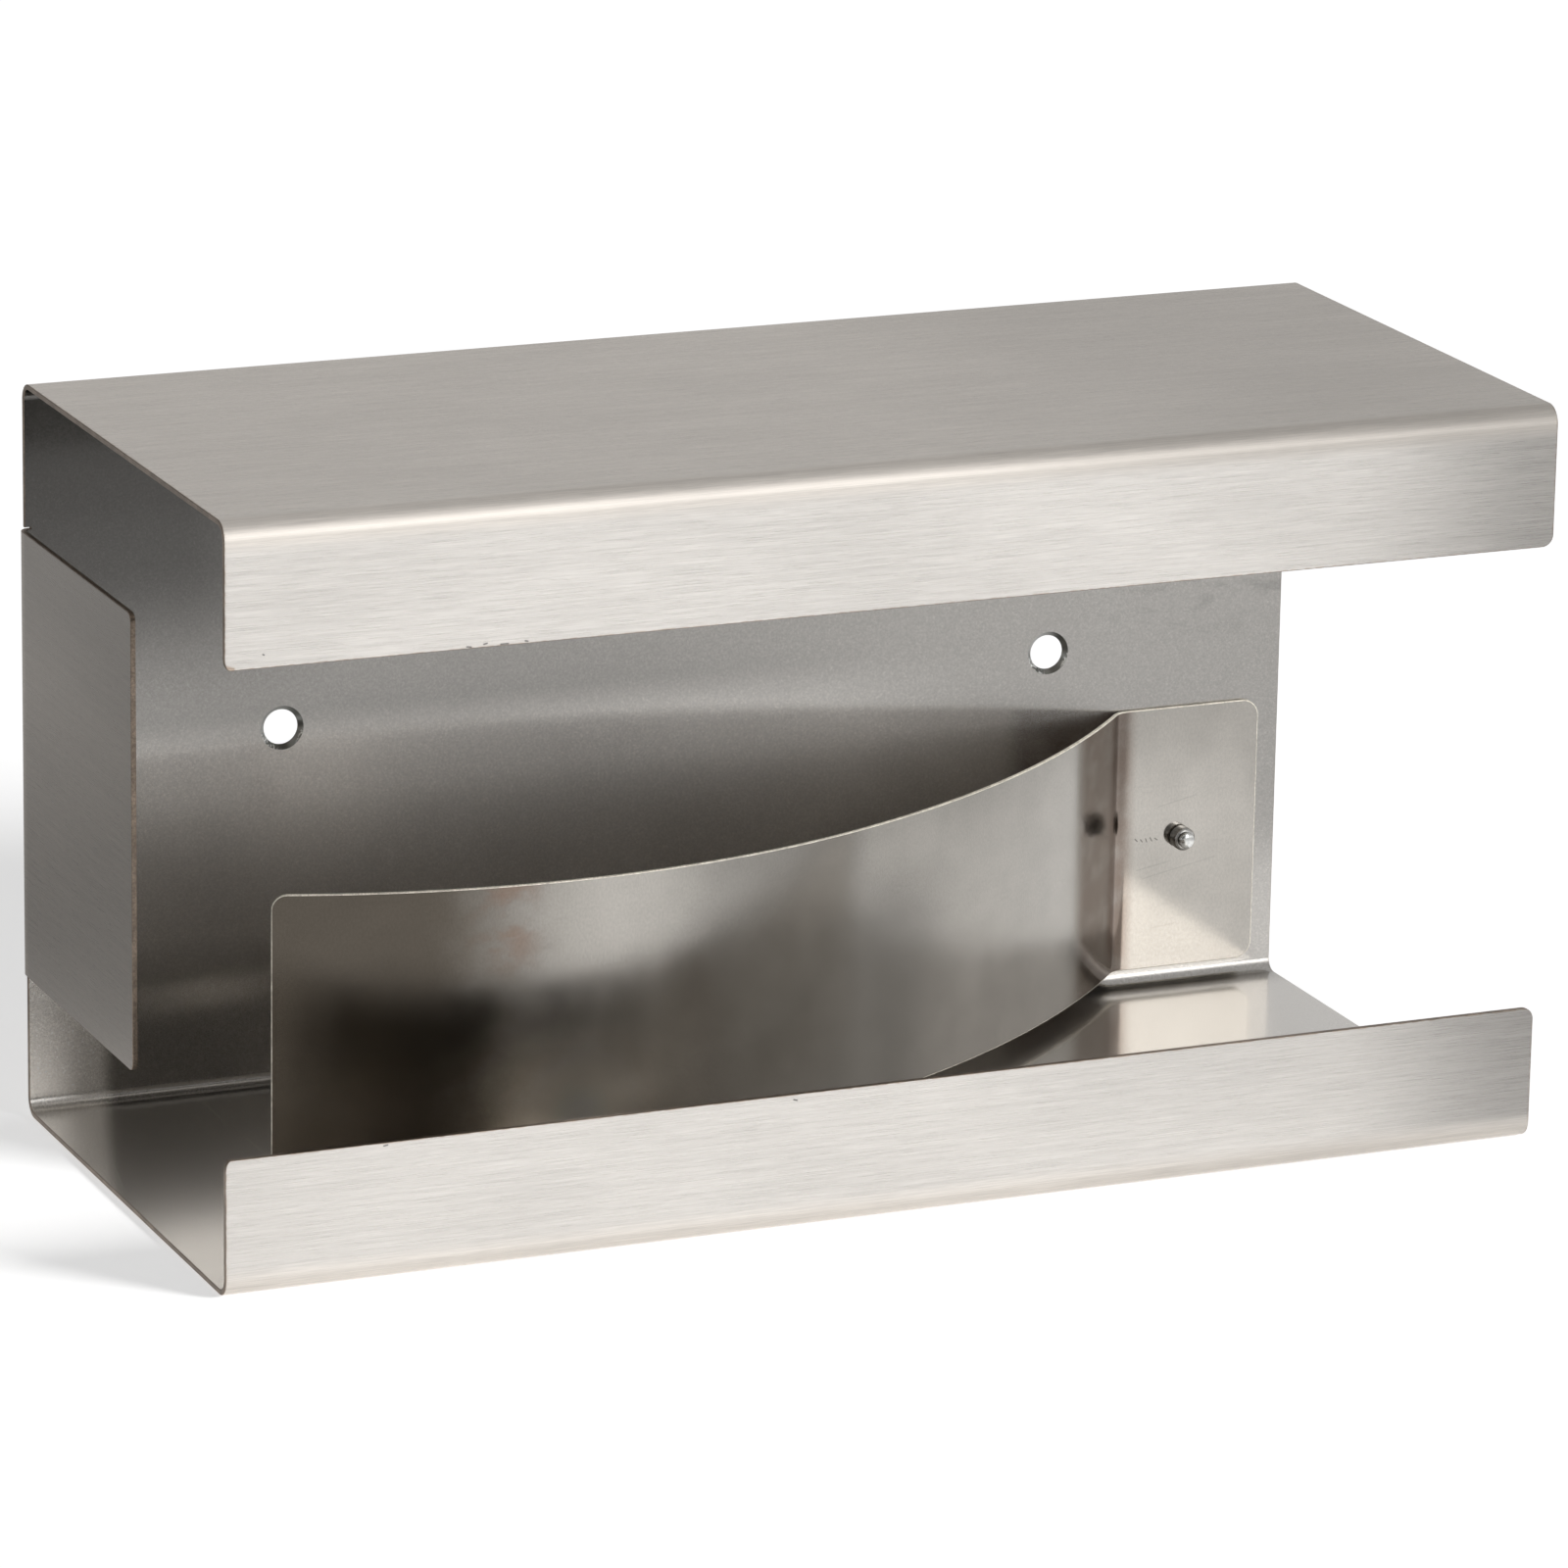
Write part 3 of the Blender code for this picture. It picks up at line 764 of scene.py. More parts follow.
        # Painted shade: the browner patch near the tip's top.
        heat = graph.product(
            graph.ramp(along, *self.tip_top_shade_start),
            graph.fall(along, *self.tip_top_shade_end),
            graph.ramp(height, *self.tip_top_shade_rise),
            graph.ramp(mottle, *self.tip_top_shade_patches),
        )
        base = graph.mix(fold, self.colour, self.fold_shade_colour)
        base = graph.mix(tip, base, self.tip_shade_colour)
        graph.paint(graph.mix(heat, base, self.tip_top_shade_colour), factor)
        swing = (self.roughness + change for change in self.roughness_swing)
        rough = graph.total(
            graph.ramp(smears, *self.smear_shades[:2], *swing), graph.ramp(along, *self.fold_sharpness)
        )
        graph.put(graph.shader.inputs["Roughness"], rough)
        graph.stretch(self.anisotropy)
        return graph.material


@dataclass(frozen=True)
class PlainSteelFinish:
    """Bare drawn steel, as on a rivet."""

    name: str
    colour: Colour
    roughness: float
    grain_shades: Ramp = (0.3, 0.7, 0.88, 1.08)

    def build(self) -> bpy.types.Material:
        """Return the material."""
        graph = MetalGraph(self.name)
        grain = graph.noise(graph.place(), (1800, 1800, 1800))
        graph.paint(self.colour, graph.ramp(grain, *self.grain_shades))
        graph.shader.inputs["Roughness"].default_value = self.roughness
        return graph.material


# Making pieces from sheet


class SheetBlank:
    """The outer face of a sheet, drawn out of a cut edge and bent as in a press brake.

    Each vertex keeps its place on the flat blank, which becomes the piece's UV map.
    """

    def __init__(self, start: list[Vector], across: Vector, heading: Vector) -> None:
        """Lay the blank's first edge.

        Args:
            start: The points of the first edge.
            across: The direction along that edge, which is the map's first axis.
            heading: The direction in which the sheet is drawn out.
        """
        self.mesh = bmesh.new()
        self.flat = self.mesh.verts.layers.float_vector.new("flat_place")
        verts = [self.mesh.verts.new(point) for point in start]
        for vert in verts:
            vert[self.flat] = Vector((vert.co.dot(across), 0, 0))
        edges = [self.mesh.edges.new(pair) for pair in zip(verts, verts[1:], strict=False)]
        self.branch(edges, heading, Y_AXIS)

    def branch(self, edges: list[bmesh.types.BMEdge], heading: Vector, flat_heading: Vector) -> None:
        """Go on from other edges of the sheet.

        Args:
            edges: The open edges to draw out next.
            heading: The direction in space.
            flat_heading: The direction on the flat blank.
        """
        self.edges = edges
        self.heading = heading
        self.flat_heading = flat_heading

    def _draw_out(self, flat_length: float) -> list[bmesh.types.BMVert]:
        """Extrude the leading edges in place.

        Args:
            flat_length: How much longer the flat blank gets.

        Returns:
            The new vertices.
        """
        grown = bmesh.ops.extrude_edge_only(self.mesh, edges=self.edges)["geom"]
        verts = [item for item in grown if isinstance(item, bmesh.types.BMVert)]
        fresh = set(verts)
        edges = [item for item in grown if isinstance(item, bmesh.types.BMEdge)]
        self.edges = [edge for edge in edges if fresh.issuperset(edge.verts)]
        for vert in verts:
            vert[self.flat] = vert[self.flat] + self.flat_heading * flat_length
        return verts

    def run(self, *lengths: float) -> None:
        """Draw the sheet straight on.

        Args:
            *lengths: The length of each step.
        """
        for length in lengths:
            verts = self._draw_out(length)
            bmesh.ops.translate(self.mesh, verts=verts, vec=self.heading * length)

    def bend(self, radius: float, angle: float, axis: Vector, steps: int) -> None:
        """Bend the sheet about a line that lies beside its leading edge.

        Args:
            radius: The radius of the face that is drawn.
            angle: The bend's angle about the axis.
            axis: The direction of the bend line.
            steps: The number of facets.
        """
        side = axis.cross(self.heading) * math.copysign(1, angle)
        centre = self.edges[0].verts[0].co + side * radius
        step = Matrix.Rotation(angle / steps, 3, axis)
        for _ in range(steps):
            verts = self._draw_out(radius * abs(angle) / steps)
            bmesh.ops.rotate(self.mesh, verts=verts, cent=centre, matrix=step)
        self.heading = Matrix.Rotation(angle, 3, axis) @ self.heading

    def map_blank(self) -> None:
        """Write the flat places into the UV map."""
        layer = self.mesh.loops.layers.uv.new(BLANK_MAP)
        for face in self.mesh.faces:
            for loop in face.loops:
                loop[layer].uv = loop.vert[self.flat].xy

    def round_corners(self, corners: list[Vector], radius: float, steps: int) -> None:
        """Round the sheet's own corners.

        Args:
            corners: Where the corners are.
            radius: Their radius.
            steps: The number of facets on each.
        """
        chosen = [
            vert
            for vert in self.mesh.verts
            if any((vert.co - corner).length < MERGE_DISTANCE for corner in corners)
        ]
        settings = {"affect": "VERTICES", "offset": radius, "segments": steps, "profile": 0.5}
        bmesh.ops.bevel(self.mesh, geom=chosen, material=-1, **settings)

    def face_outward(self, probe: Vector, outward: Vector) -> None:
        """Make the faces agree.

        Args:
            probe: A point on the sheet.
            outward: The way that the face there should look.
        """
        faces = self.mesh.faces
        bmesh.ops.recalc_face_normals(self.mesh, faces=faces)
        nearest = min(faces, key=lambda face: (face.calc_center_median() - probe).length)
        if nearest.normal.dot(outward) < 0:
            bmesh.ops.reverse_faces(self.mesh, faces=faces)


def add_object(name: str, data: bpy.types.ID) -> Object:
    """Add an object to the scene.

    Args:
        name: The object's name.
        data: Its mesh, lamp or camera.

    Returns:
        The object.
    """
    made = bpy.data.objects.new(name, data)
    bpy.context.scene.collection.objects.link(made)
    return made


def new_piece(name: str, shape: bmesh.types.BMesh) -> Object:
    """Turn a bmesh into an object.

    Args:
        name: The object's name.
        shape: The bmesh, which is freed.

    Returns:
        The object.
    """
    mesh = bpy.data.meshes.new(name)
    shape.to_mesh(mesh)
    shape.free()
    return add_object(name, mesh)


def apply_modifiers(piece: Object) -> None:
    """Write a piece's modifiers into its mesh.

    Args:
        piece: The piece.
    """
    graph = bpy.context.evaluated_depsgraph_get()
    finished = bpy.data.meshes.new_from_object(piece.evaluated_get(graph))
    old = piece.data
    piece.modifiers.clear()
    piece.data = finished
    bpy.data.meshes.remove(old)
    finished.name = piece.name


def thicken(piece: Object, thickness: float) -> None:
    """Give a sheet its thickness, behind the face that was drawn.

    Args:
        piece: The sheet.
        thickness: Its thickness.
    """
    solidify = piece.modifiers.new("Thickness", "SOLIDIFY")
    solidify.thickness = thickness
    solidify.offset = -1
    solidify.use_even_offset = True
    solidify.material_offset = Face.INNER.value
    solidify.material_offset_rim = Face.CUT.value
    apply_modifiers(piece)


def ease_edges(piece: Object, width: float) -> None:
    """Break the sharp edges between a sheet's skins and its cut edges.

    Args:
        piece: The sheet.
        width: The width of the break.
    """
    shape = bmesh.new()
    shape.from_mesh(piece.data)
    sharp = []
    for edge in shape.edges:
        kinds = {face.material_index for face in edge.link_faces}
        if len(kinds) == 2 and Face.CUT.value in kinds:
            sharp.append(edge)
    settings = {"affect": "EDGES", "offset": width, "segments": 2, "profile": 0.5}
    bmesh.ops.bevel(shape, geom=sharp, material=Face.CUT.value, **settings)
    shape.to_mesh(piece.data)
    shape.free()


def turned(name: str, profile: list[Span], where: Vector, closed: bool, steps: int) -> Object:
    """Turn a profile about a line along the Y axis.

    Args:
        name: The object's name.
        profile: Points of radius and distance into the room.
        where: A point on the line.
        closed: Whether the profile closes on itself, as for a ring.
        steps: The number of facets.

    Returns:
        The turned object, with its origin left at the scene's.
    """
    shape = bmesh.new()
    points = [shape.verts.new((radius, -ahead, 0)) for radius, ahead in profile]
    pairs = list(zip(points, points[1:] + points[:1], strict=True))
    edges = [shape.edges.new(pair) for pair in (pairs if closed else pairs[:-1])]
    around = {"cent": (0, 0, 0), "axis": Y_AXIS, "angle": math.tau, "steps": steps}
    bmesh.ops.spin(shape, geom=points + edges, use_merge=True, **around)
    bmesh.ops.remove_doubles(shape, verts=shape.verts, dist=MERGE_DISTANCE)
    bmesh.ops.recalc_face_normals(shape, faces=shape.faces)
    made = new_piece(name, shape)
    made.data.transform(Matrix.Translation(where))
    return made


def cut_through(piece: Object, cutter: Object) -> None:
    """Cut a hole, and throw the cutter away.

    Args:
        piece: The piece to cut.
        cutter: The solid to take from it.
    """
    for face in cutter.data.polygons:
        face.material_index = Face.BORE.value
    boolean = piece.modifiers.new("Hole", "BOOLEAN")
    boolean.operation = "DIFFERENCE"
    boolean.solver = "EXACT"
    boolean.object = cutter
    apply_modifiers(piece)
    bpy.data.objects.remove(cutter)


def shade(piece: Object, angle: float = SMOOTH_ANGLE) -> None:
    """Shade a piece smoothly, apart from edges sharper than an angle."""
    piece.data.shade_smooth()
    piece.data.set_sharp_from_angle(angle=angle)


# The dispenser's pieces


@dataclass
class Housing:
    """The folded sheet: top, back, bottom, two front lips and the side stop flange."""

    width: float = 260 * MM
    depth: float = 112 * MM
    height: float = 142 * MM
    sheet: float = 1.0 * MM
    bend_radius: float = 3.5 * MM
    top_lip: float = 26.5 * MM
    bottom_lip: float = 26.0 * MM
    lip_corner: float = 2.2 * MM
    flange_depth: float = 64.5 * MM
    flange_height: float = 86 * MM
    flange_standoff: float = 1.0 * MM
    flange_bend: float = 2.2 * MM
    flange_corner: float = 1.8 * MM
    slit: float = 0.3 * MM
    hold: float = 0.35 * MM
    screw_spacing: float = 159 * MM
    screw_hole: float = 6.8 * MM
    screw_head: float = 8.6 * MM
    cutter_over: float = 2 * MM
    eased: float = 0.13 * MM
    bend_steps: int = 14
    corner_steps: int = 8
    round_steps: int = 64

    def _fold(self, blank: SheetBlank) -> None:
        """Fold the sheet inwards by a right angle."""
        blank.bend(self.bend_radius, -math.pi / 2, X_AXIS, self.bend_steps)

    def _run_between_bends(self, blank: SheetBlank, length: float) -> None:
        """Draw a flat panel, with a short step at each end so that it shades flat."""
        blank.run(self.hold, length - 2 * self.hold, self.hold)

    def _fold_flange(self, blank: SheetBlank, fold_x: float) -> None:
        """Cut the relief beside the stop flange, and fold the flange forward.

        Args:
            blank: The housing's blank.
            fold_x: Where the fold starts on the back panel.
        """
        slit_top = self.flange_height / 2 + self.slit
        middles = [(face, face.calc_center_median()) for face in blank.mesh.faces]
        removed = [
            face
            for face, middle in middles
            if middle.x < fold_x and abs(middle.z) < slit_top and abs(middle.y) < MERGE_DISTANCE
        ]
        bmesh.ops.delete(blank.mesh, geom=removed, context="FACES")
        root = [
            edge
            for edge in blank.mesh.edges
            if all(
                abs(vert.co.x - fold_x) < MERGE_DISTANCE
                and abs(vert.co.y) < MERGE_DISTANCE
                and abs(vert.co.z) < self.flange_height / 2 + MERGE_DISTANCE
                for vert in edge.verts
            )
        ]
        blank.branch(root, -X_AXIS, -X_AXIS)
        blank.bend(self.flange_bend, math.pi / 2, Z_AXIS, self.bend_steps)
        blank.run(self.hold, self.flange_depth - self.flange_bend - self.hold)

    def _round_corners(self, blank: SheetBlank) -> None:
        """Round the corners of both lips and of the stop flange.

        Args:
            blank: The housing's blank.
        """
        lip_ends = (self.height / 2 - self.top_lip, self.bottom_lip - self.height / 2)
        corners = [
            Vector((side * self.width / 2, -self.depth, z)) for side in (-1, 1) for z in lip_ends
        ]
        blank.round_corners(corners, self.lip_corner, self.corner_steps)
        flange_x = -self.width / 2 - self.flange_standoff
        corners = [
            Vector((flange_x, -self.flange_depth, side * self.flange_height / 2)) for side in (-1, 1)
        ]
        blank.round_corners(corners, self.flange_corner, self.corner_steps)

    def _screw_cutter(self, x: float) -> Object:
        """Make the cutter for a countersunk screw hole.

        Args:
            x: Where the hole is.

        Returns:
            The cutter.
        """
        narrow, wide = self.screw_hole / 2, self.screw_head / 2
        profile = [
            (0, -self.cutter_over),
            (narrow, -self.cutter_over),
            (narrow, self.sheet - (wide - narrow)),
            (wide, self.sheet),
            (wide, self.sheet + self.cutter_over),
            (0, self.sheet + self.cutter_over),
        ]
        return turned("screw_hole_cutter", profile, Vector((x, 0, 0)), False, self.round_steps)

    def build(self) -> Object:
        """Return the housing in place, with its finishes and screw holes."""
        fold_x = -self.width / 2 - self.flange_standoff + self.flange_bend
        lip_end = self.height / 2 - self.top_lip
        start = [Vector((x, -self.depth, lip_end)) for x in (-self.width / 2, fold_x, self.width / 2)]
        blank = SheetBlank(start, X_AXIS, Z_AXIS)
        panel = self.depth - 2 * self.bend_radius
        beside = self.height / 2 - self.bend_radius - self.flange_height / 2 - self.slit
        blank.run(self.top_lip - self.bend_radius - self.hold, self.hold)
        self._fold(blank)
        self._run_between_bends(blank, panel)
        self._fold(blank)
        blank.run(self.hold, beside - self.hold, self.slit)
        blank.run(self.flange_height)
        blank.run(self.slit, beside - self.hold, self.hold)
        self._fold(blank)
        self._run_between_bends(blank, panel)
        self._fold(blank)
        blank.run(self.hold, self.bottom_lip - self.bend_radius - self.hold)
        self._fold_flange(blank, fold_x)
        bmesh.ops.remove_doubles(blank.mesh, verts=blank.mesh.verts, dist=MERGE_DISTANCE)
        blank.map_blank()
        blank_length = max(vert[blank.flat].y for vert in blank.mesh.verts)
        self._round_corners(blank)
        blank.face_outward(Vector((0, 0, 0)), Y_AXIS)
        housing = new_piece("folded_housing", blank.mesh)
        brushed = BrushedFinish(blank_length, self.width)
        bore = BoreFinish(self.screw_spacing / 2)
        for finish in (brushed, MillFinish(), CutEdgeFinish(), bore):
            housing.data.materials.append(finish.build())
        thicken(housing, self.sheet)
        ease_edges(housing, self.eased)
        for side in (-1, 1):
            cut_through(housing, self._screw_cutter(side * self.screw_spacing / 2))
        shade(housing)
        return housing


@dataclass
class LeafSpring:
    """The bowed strip that presses the glove box forward, riveted at its foot."""

    thickness: float = 0.8 * MM
    height: float = 53.5 * MM
    bottom: float = -66.75 * MM
    foot_start: float = 125.3 * MM
    foot_face: float = -1.3 * MM
    foot_length: float = 28.6 * MM
    foot_corner: float = 3.5 * MM
    tip_corner: float = 3.0 * MM
    fold_radius: float = 4.8 * MM
    fold_angle: float = math.radians(48)
    waist_angle: float = math.radians(22.3)
    tip_angle: float = math.radians(20.4)
    root_radius: float = 217.2 * MM
    tip_radius: float = 160.9 * MM
    hold: float = 0.35 * MM
    eased: float = 0.2 * MM
    fold_steps: int = 12
    blade_steps: int = 40
    corner_steps: int = 8
    # Painted light: the rear face is painted much lighter than the front, though it is the same steel.
    rear: SpringFinish = SpringFinish(
        "Satin spring steel, rear",
        colour=(0.93, 0.89, 0.84),
        tip_shade_colour=(0.85, 0.81, 0.76),
        roughness=0.4,
        low_lift=0.0,
        middle_shade_depth=(0.0, 0.0),
    )
    front: SpringFinish = SpringFinish()
    # Painted highlight: the strip's edge is painted near-white and partly diffuse, unlike the housing's
    # brown cut edge.
    edge: CutEdgeFinish = CutEdgeFinish("Strip edge", (0.93, 0.87, 0.75), 0.45, 0.45)
    hole: CutEdgeFinish = CutEdgeFinish("Punched hole")

    def build(self) -> Object:
        """Return the leaf in place, with its finishes."""
        start = [
            Vector((self.foot_start, self.foot_face, z)) for z in (self.bottom, self.bottom + self.height)
        ]
        blank = SheetBlank(start, Z_AXIS, -X_AXIS)
        blank.run(self.foot_length - self.hold, self.hold)
        blank.bend(self.fold_radius, self.fold_angle, Z_AXIS, self.fold_steps)
        blank.bend(self.root_radius, self.waist_angle - self.fold_angle, Z_AXIS, self.blade_steps)
        blank.bend(self.tip_radius, -self.waist_angle - self.tip_angle, Z_AXIS, self.blade_steps)
        tip = [vert.co.copy() for vert in blank.edges[0].verts]
        blank.map_blank()
        blank.round_corners(start, self.foot_corner, self.corner_steps)
        blank.round_corners(tip, self.tip_corner, self.corner_steps)
        foot_middle = self.foot_start - self.foot_length / 2
        blank.face_outward(Vector((foot_middle, self.foot_face, self.bottom + self.height / 2)), Y_AXIS)
        leaf = new_piece("bowed_leaf", blank.mesh)
        for finish in (self.rear, self.front, self.edge, self.hole):
            leaf.data.materials.append(finish.build())
        thicken(leaf, self.thickness)
        ease_edges(leaf, self.eased)
        shade(leaf)
        return leaf


@dataclass
class BlindRivet:
    """The rivet through the leaf's foot: a sleeve set into a bulb, and its mandrel."""

    x: float = 108.7 * MM
    z: float = -40.0 * MM
    shank: float = 1.6 * MM
    head: float = 2.8 * MM
    head_recess: float = 0.05 * MM
    head_cone: float = 0.69 * MM
    bore: float = 1.0 * MM
    bulb: float = 2.35 * MM
    bulb_start: float = 2.4 * MM
    bulb_end: float = 4.9 * MM
    bulb_round: float = 0.7 * MM
    bulb_chamfer: float = 0.2 * MM
    stem: float = 0.7 * MM
    stem_start: float = 0.8 * MM
    mandrel: float = 1.6 * MM
    mandrel_start: float = 5.2 * MM
    mandrel_length: float = 0.9 * MM
    panel: float = 1.0 * MM
    panel_play: float = 0.3 * MM
    foot_hole: float = 1.9 * MM
    cutter_over: float = 0.5 * MM
    round_steps: int = 48
    dome_steps: int = 8
    sleeve_finish: PlainSteelFinish = PlainSteelFinish("Rivet steel", (0.50, 0.49, 0.47), 0.28)
    mandrel_finish: PlainSteelFinish = PlainSteelFinish("Bright pin steel", (0.78, 0.78, 0.76), 0.16)

    def _turned(self, name: str, profile: list[Span], closed: bool = False) -> Object:
        """Return a profile turned about the rivet's own line."""
        return turned(name, profile, Vector((self.x, 0, self.z)), closed, self.round_steps)

    def _quarter(self) -> list[float]:
        """Return the angles of a rounding from its side to its top."""
        return [math.pi / 2 * step / self.dome_steps for step in range(self.dome_steps + 1)]

    def cut_holes(self, housing: Object, leaf: Object) -> None:
        """Cut the rivet's holes.

        Args:
            housing: The housing, whose hole is countersunk from the wall side.
            leaf: The leaf, whose foot the rivet passes through.
        """
        wide = self.head + self.panel_play
        narrow = self.shank + self.panel_play
        beyond = self.panel + self.cutter_over / 2
        countersunk = [
            (0, -self.cutter_over),
            (wide, -self.cutter_over),
            (wide, self.head_recess),
            (narrow, self.head_recess + self.head_cone),
            (narrow, beyond),
            (0, beyond),
        ]
        straight = [
            (0, self.panel),
            (self.foot_hole, self.panel),
            (self.foot_hole, self.bulb_start + self.cutter_over),
            (0, self.bulb_start + self.cutter_over),
        ]
        for piece, profile in ((housing, countersunk), (leaf, straight)):
            cut_through(piece, self._turned("rivet_hole_cutter", profile))
            shade(piece)

    def build_sleeve(self) -> Object:
        """Return the sleeve in place, with its finish."""
        rounding = [
            (
                self.bulb - self.bulb_round * (1 - math.cos(angle)),
                self.bulb_end - self.bulb_round * (1 - math.sin(angle)),
            )
            for angle in self._quarter()
        ]
        profile = [
            (self.bore, self.head_recess),
            (self.head, self.head_recess),
            (self.shank, self.head_recess + self.head_cone),
            (self.shank, self.bulb_start),
            (self.bulb - self.bulb_chamfer, self.bulb_start),
            (self.bulb, self.bulb_start + self.bulb_chamfer),
            *rounding,
            (self.bore, self.bulb_end),
        ]
        sleeve = self._turned("rivet_barrel", profile, closed=True)
        sleeve.data.materials.append(self.sleeve_finish.build())
        shade(sleeve, TURNED_SMOOTH_ANGLE)
        return sleeve

    def build_mandrel(self) -> Object:
        """Return the mandrel in place, with its finish."""
        dome = [
            (
                self.mandrel * math.cos(angle),
                self.mandrel_start + self.mandrel_length * (1 + math.sin(angle)) / 2,
            )
            for angle in self._quarter()
        ]
        profile = [
            (0, self.stem_start),
            (self.stem, self.stem_start),
            (self.stem, self.mandrel_start),
            (self.mandrel, self.mandrel_start),
            *dome[:-1],
            (0, dome[-1][1]),
        ]
        mandrel = self._turned("rivet_pin", profile)
        mandrel.data.materials.append(self.mandrel_finish.build())
        shade(mandrel, TURNED_SMOOTH_ANGLE)
        return mandrel


# The studio


@dataclass
class Studio:
    """The floor, lamp, surroundings and camera.

    The camera sees plain white. The steel mirrors a pool of light on the floor, a bright card
    and two dim directions. The lamp is large and far off, and isn't mirrored in the steel.
    """

    floor_height: float = -71.2 * MM
    floor_radius: float = 8.0
    floor_steps: int = 96
    floor_colour: Colour = (0.80, 0.80, 0.80)
    floor_roughness: float = 0.9
    floor_glow: float = 0.46
    base_glow: float = 0.1
    pool_middle: float = 0.022
    pool_side: Span = (0.15, 0.23)
    pool_spread: float = 0.092
    pool_front: Span = (-0.35, -0.275)
    card_azimuth: float = math.radians(21.5)
    card_facing: Span = (0.1, 0.3)
    card_sides: Span = (0.09, 0.122)
    card_top: Span = (0.4, 0.6)
    card_level: float = 2.8
    ambient: float = 0.17
    cove: Ramp = (0.07, 0.40, 1.0, 0.55)
    dim_headings: tuple[Point, ...] = ((-0.25, -0.968, 0.0), (-0.6, 0.8, 0.0))
    dimming: Ramp = (0.80, 0.97, 1.0, 0.12)
    camera_place: Point = (-0.60196, -1.45551, 0.43828)
    camera_yaw: float = math.radians(23.276)
    camera_pitch: float = math.radians(16.182)
    camera_roll: float = math.radians(0.973)
    camera_lens: float = 195.212
    camera_sensor: float = 36
    lamp_heading: Point = (0.62, -0.66, 0.42)
    lamp_width: float = math.radians(16)
    lamp_power: float = 3.2

    def lay_floor(self) -> Object:
        """Lay the floor, and return it."""
        shape = bmesh.new()
        bmesh.ops.create_circle(shape, cap_ends=True, segments=self.floor_steps, radius=self.floor_radius)
        bmesh.ops.translate(shape, verts=shape.verts, vec=(0, 0, self.floor_height))
        floor = new_piece("studio_floor", shape)
        material = bpy.data.materials.new("Pale floor")
        material.use_nodes = True
        graph = NodeGraph(material.node_tree)
        shader = material.node_tree.nodes["Principled BSDF"]
        shader.inputs["Base Color"].default_value = (*self.floor_colour, 1)
        shader.inputs["Roughness"].default_value = self.floor_roughness
        shader.inputs["Specular IOR Level"].default_value = 0.0
        shader.inputs["Emission Color"].default_value = (*WHITE, 1)
        mirrored, seen = graph.rays()
        place = graph.add("TexCoord").outputs["Object"]
        sine, cosine = math.sin(self.camera_yaw), math.cos(self.camera_yaw)
        ahead = graph.dot(place, (sine, cosine, 0))
        aside = graph.minus(graph.dot(place, (cosine, -sine, 0)), self.pool_middle)
        aside = graph.minus(graph.math("ABSOLUTE", aside), graph.product(ahead, self.pool_spread))
        pool = graph.product(graph.fall(aside, *self.pool_side), graph.ramp(ahead, *self.pool_front))
        glow = graph.total(graph.product(graph.most(pool, seen), self.floor_glow), self.base_glow)
        graph.put(shader.inputs["Emission Strength"], graph.product(graph.most(mirrored, seen), glow))
        floor.data.materials.append(material)
        return floor

    def hang_lamp(self) -> Object:
        """Hang the lamp, and return it."""
        data = bpy.data.lights.new("Sweep light", "SUN")
        data.energy = self.lamp_power
        data.angle = self.lamp_width
        lamp = add_object("Sweep light", data)
        lamp.rotation_euler = (-Vector(self.lamp_heading)).to_track_quat("-Z", "Y").to_euler()
        lamp.visible_glossy = False
        return lamp

    def surround(self) -> bpy.types.World:
        """Set the surroundings, and return them."""
        world = bpy.data.worlds.new("Studio surroundings")
        world.use_nodes = True
        bpy.context.scene.world = world
        graph = NodeGraph(world.node_tree)
        mirrored, seen = graph.rays()
        heading = graph.add("TexCoord").outputs["Generated"]
        height = graph.dot(heading, Z_AXIS)
        dims = [graph.ramp(graph.dot(heading, dim), *self.dimming) for dim in self.dim_headings]
        cove = graph.product(graph.ramp(height, *self.cove), *dims)
        sine, cosine = math.sin(self.card_azimuth), math.cos(self.card_azimuth)
        facing = graph.dot(heading, (sine, -cosine, 0))
        across = graph.math("DIVIDE", graph.dot(heading, (cosine, sine, 0)), facing)
        card = graph.product(
            graph.fall(graph.math("ABSOLUTE", across), *self.card_sides),
            graph.fall(height, *self.card_top),
            graph.ramp(facing, *self.card_facing),
        )
        level = graph.total(cove, graph.product(card, self.card_level))
        shown = graph.mix(mirrored, (self.ambient,) * 3, graph.vector("SCALE", WHITE, level))
        background = world.node_tree.nodes["Background"]
        graph.put(background.inputs["Color"], graph.mix(seen, shown, WHITE))
        return world

    def place_camera(self) -> Object:
        """Place the camera where the photograph was taken, and return it."""
        data = bpy.data.cameras.new("Camera")
        data.sensor_width = self.camera_sensor
        data.lens = self.camera_lens
        camera = add_object("Camera", data)
        yaw, pitch, roll = self.camera_yaw, self.camera_pitch, self.camera_roll
        ahead = Vector(
            (math.sin(yaw) * math.cos(pitch), math.cos(yaw) * math.cos(pitch), -math.sin(pitch))
        )
        level = Vector((math.cos(yaw), -math.sin(yaw), 0))
        upright = level.cross(ahead)
        right = level * math.cos(roll) + upright * math.sin(roll)
        up = upright * math.cos(roll) - level * math.sin(roll)
        turn = Matrix((right, up, -ahead)).transposed().to_4x4()
        camera.matrix_world = Matrix.Translation(self.camera_place) @ turn
        bpy.context.scene.camera = camera
        return camera


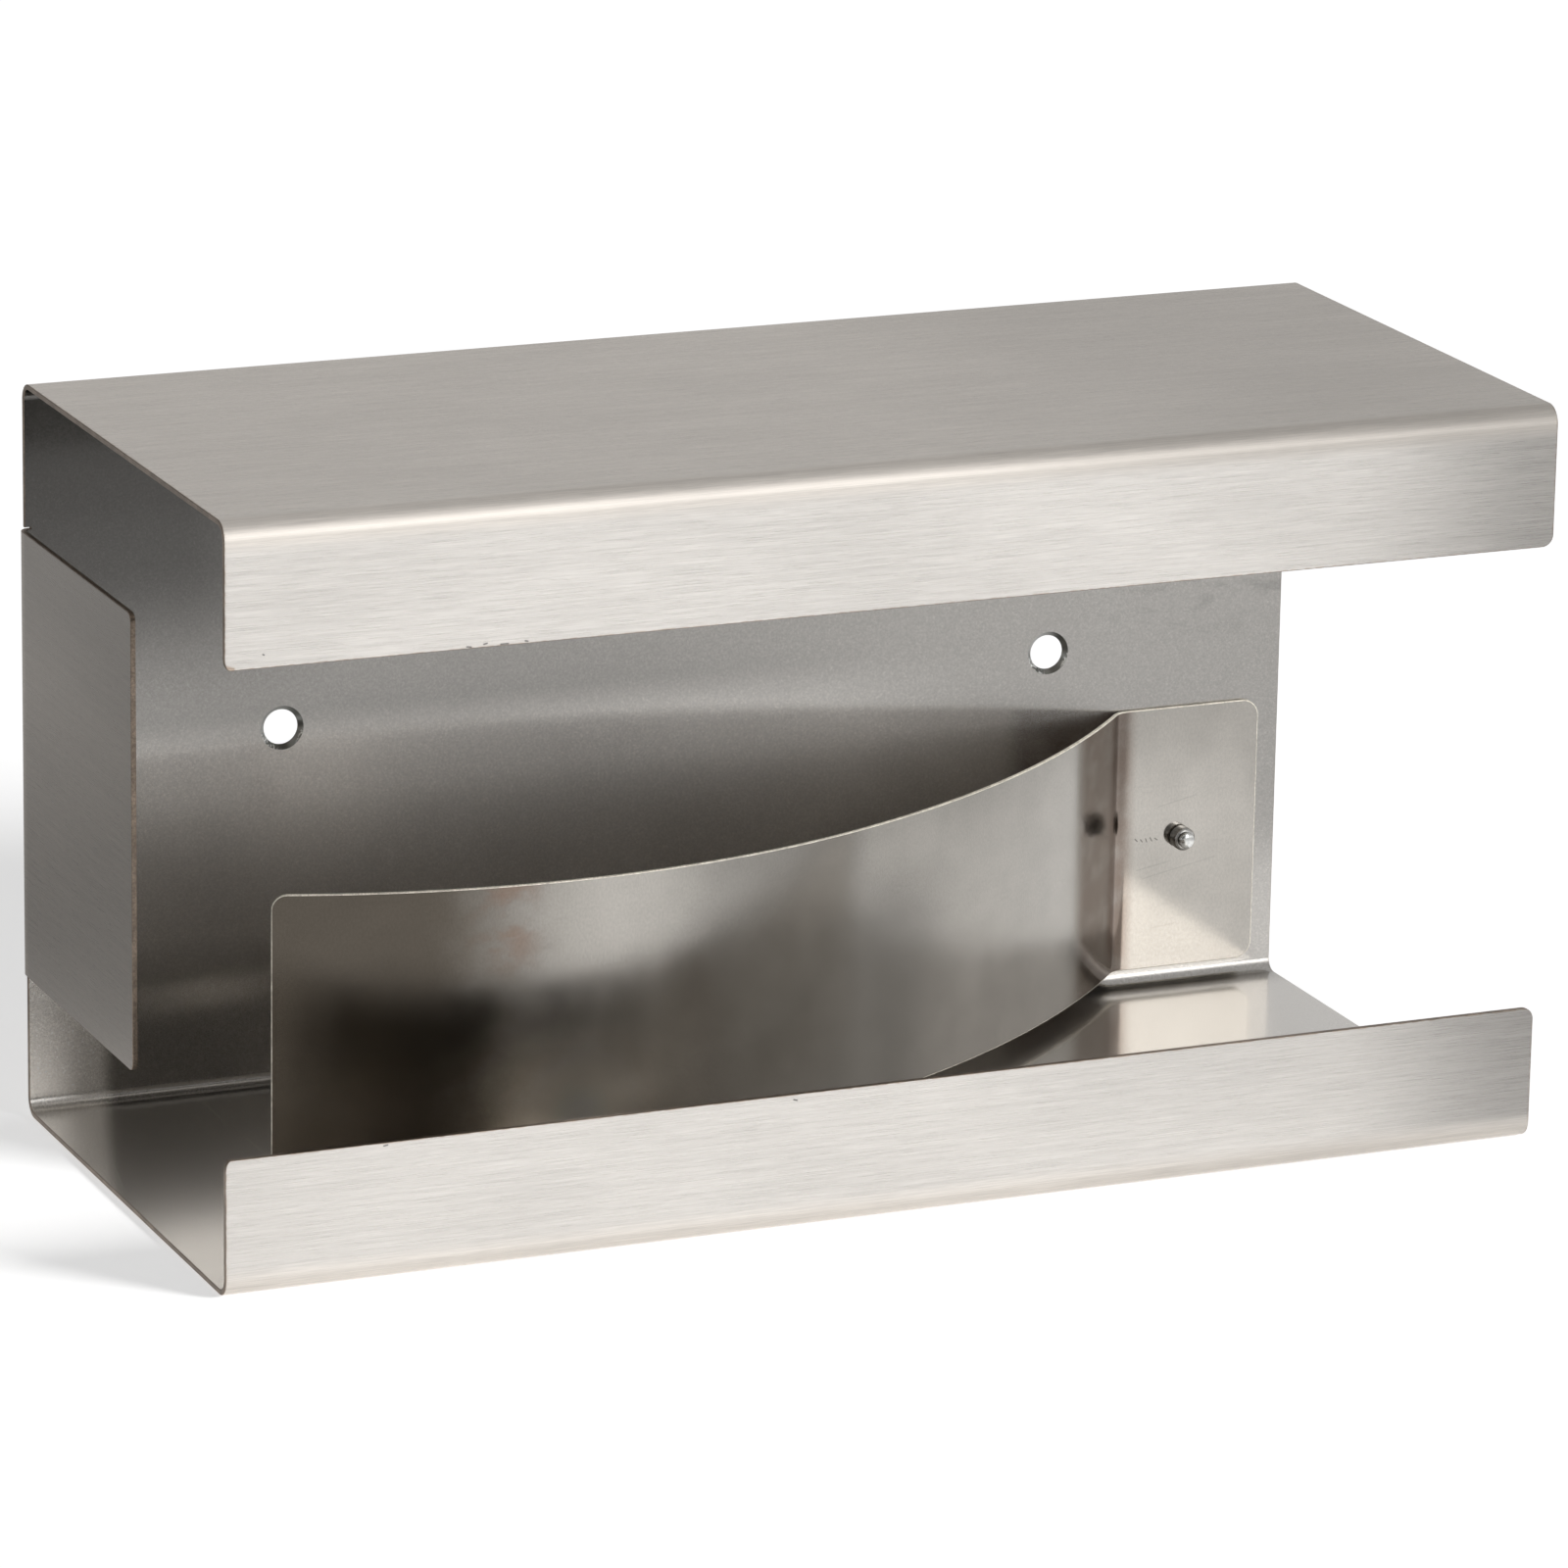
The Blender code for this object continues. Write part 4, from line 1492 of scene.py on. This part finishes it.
def main() -> None:
    """Build and dress the dispenser, and set up the studio."""
    logging.basicConfig(level=logging.INFO, format="%(message)s")
    studio = Studio()
    studio.place_camera()
    studio.lay_floor()
    studio.hang_lamp()
    studio.surround()

    housing = Housing().build()
    leaf = LeafSpring().build()
    rivet = BlindRivet()
    rivet.cut_holes(housing, leaf)

    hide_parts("housing")
    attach(housing, "housing")
    log.info("housing: %d faces", len(housing.data.polygons))

    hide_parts("leaf_spring")
    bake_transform(leaf)
    log.info("leaf spring: %d faces", len(leaf.data.polygons))

    sleeve = rivet.build_sleeve()
    mandrel = rivet.build_mandrel()
    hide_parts("rivet_sleeve")
    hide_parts("rivet_mandrel")
    for piece in (sleeve, mandrel):
        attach(piece, "housing")
        log.info("%s: %d faces", piece.name, len(piece.data.polygons))

    bpy.context.scene.view_settings.view_transform = "Standard"


if __name__ == "__main__":
    main()
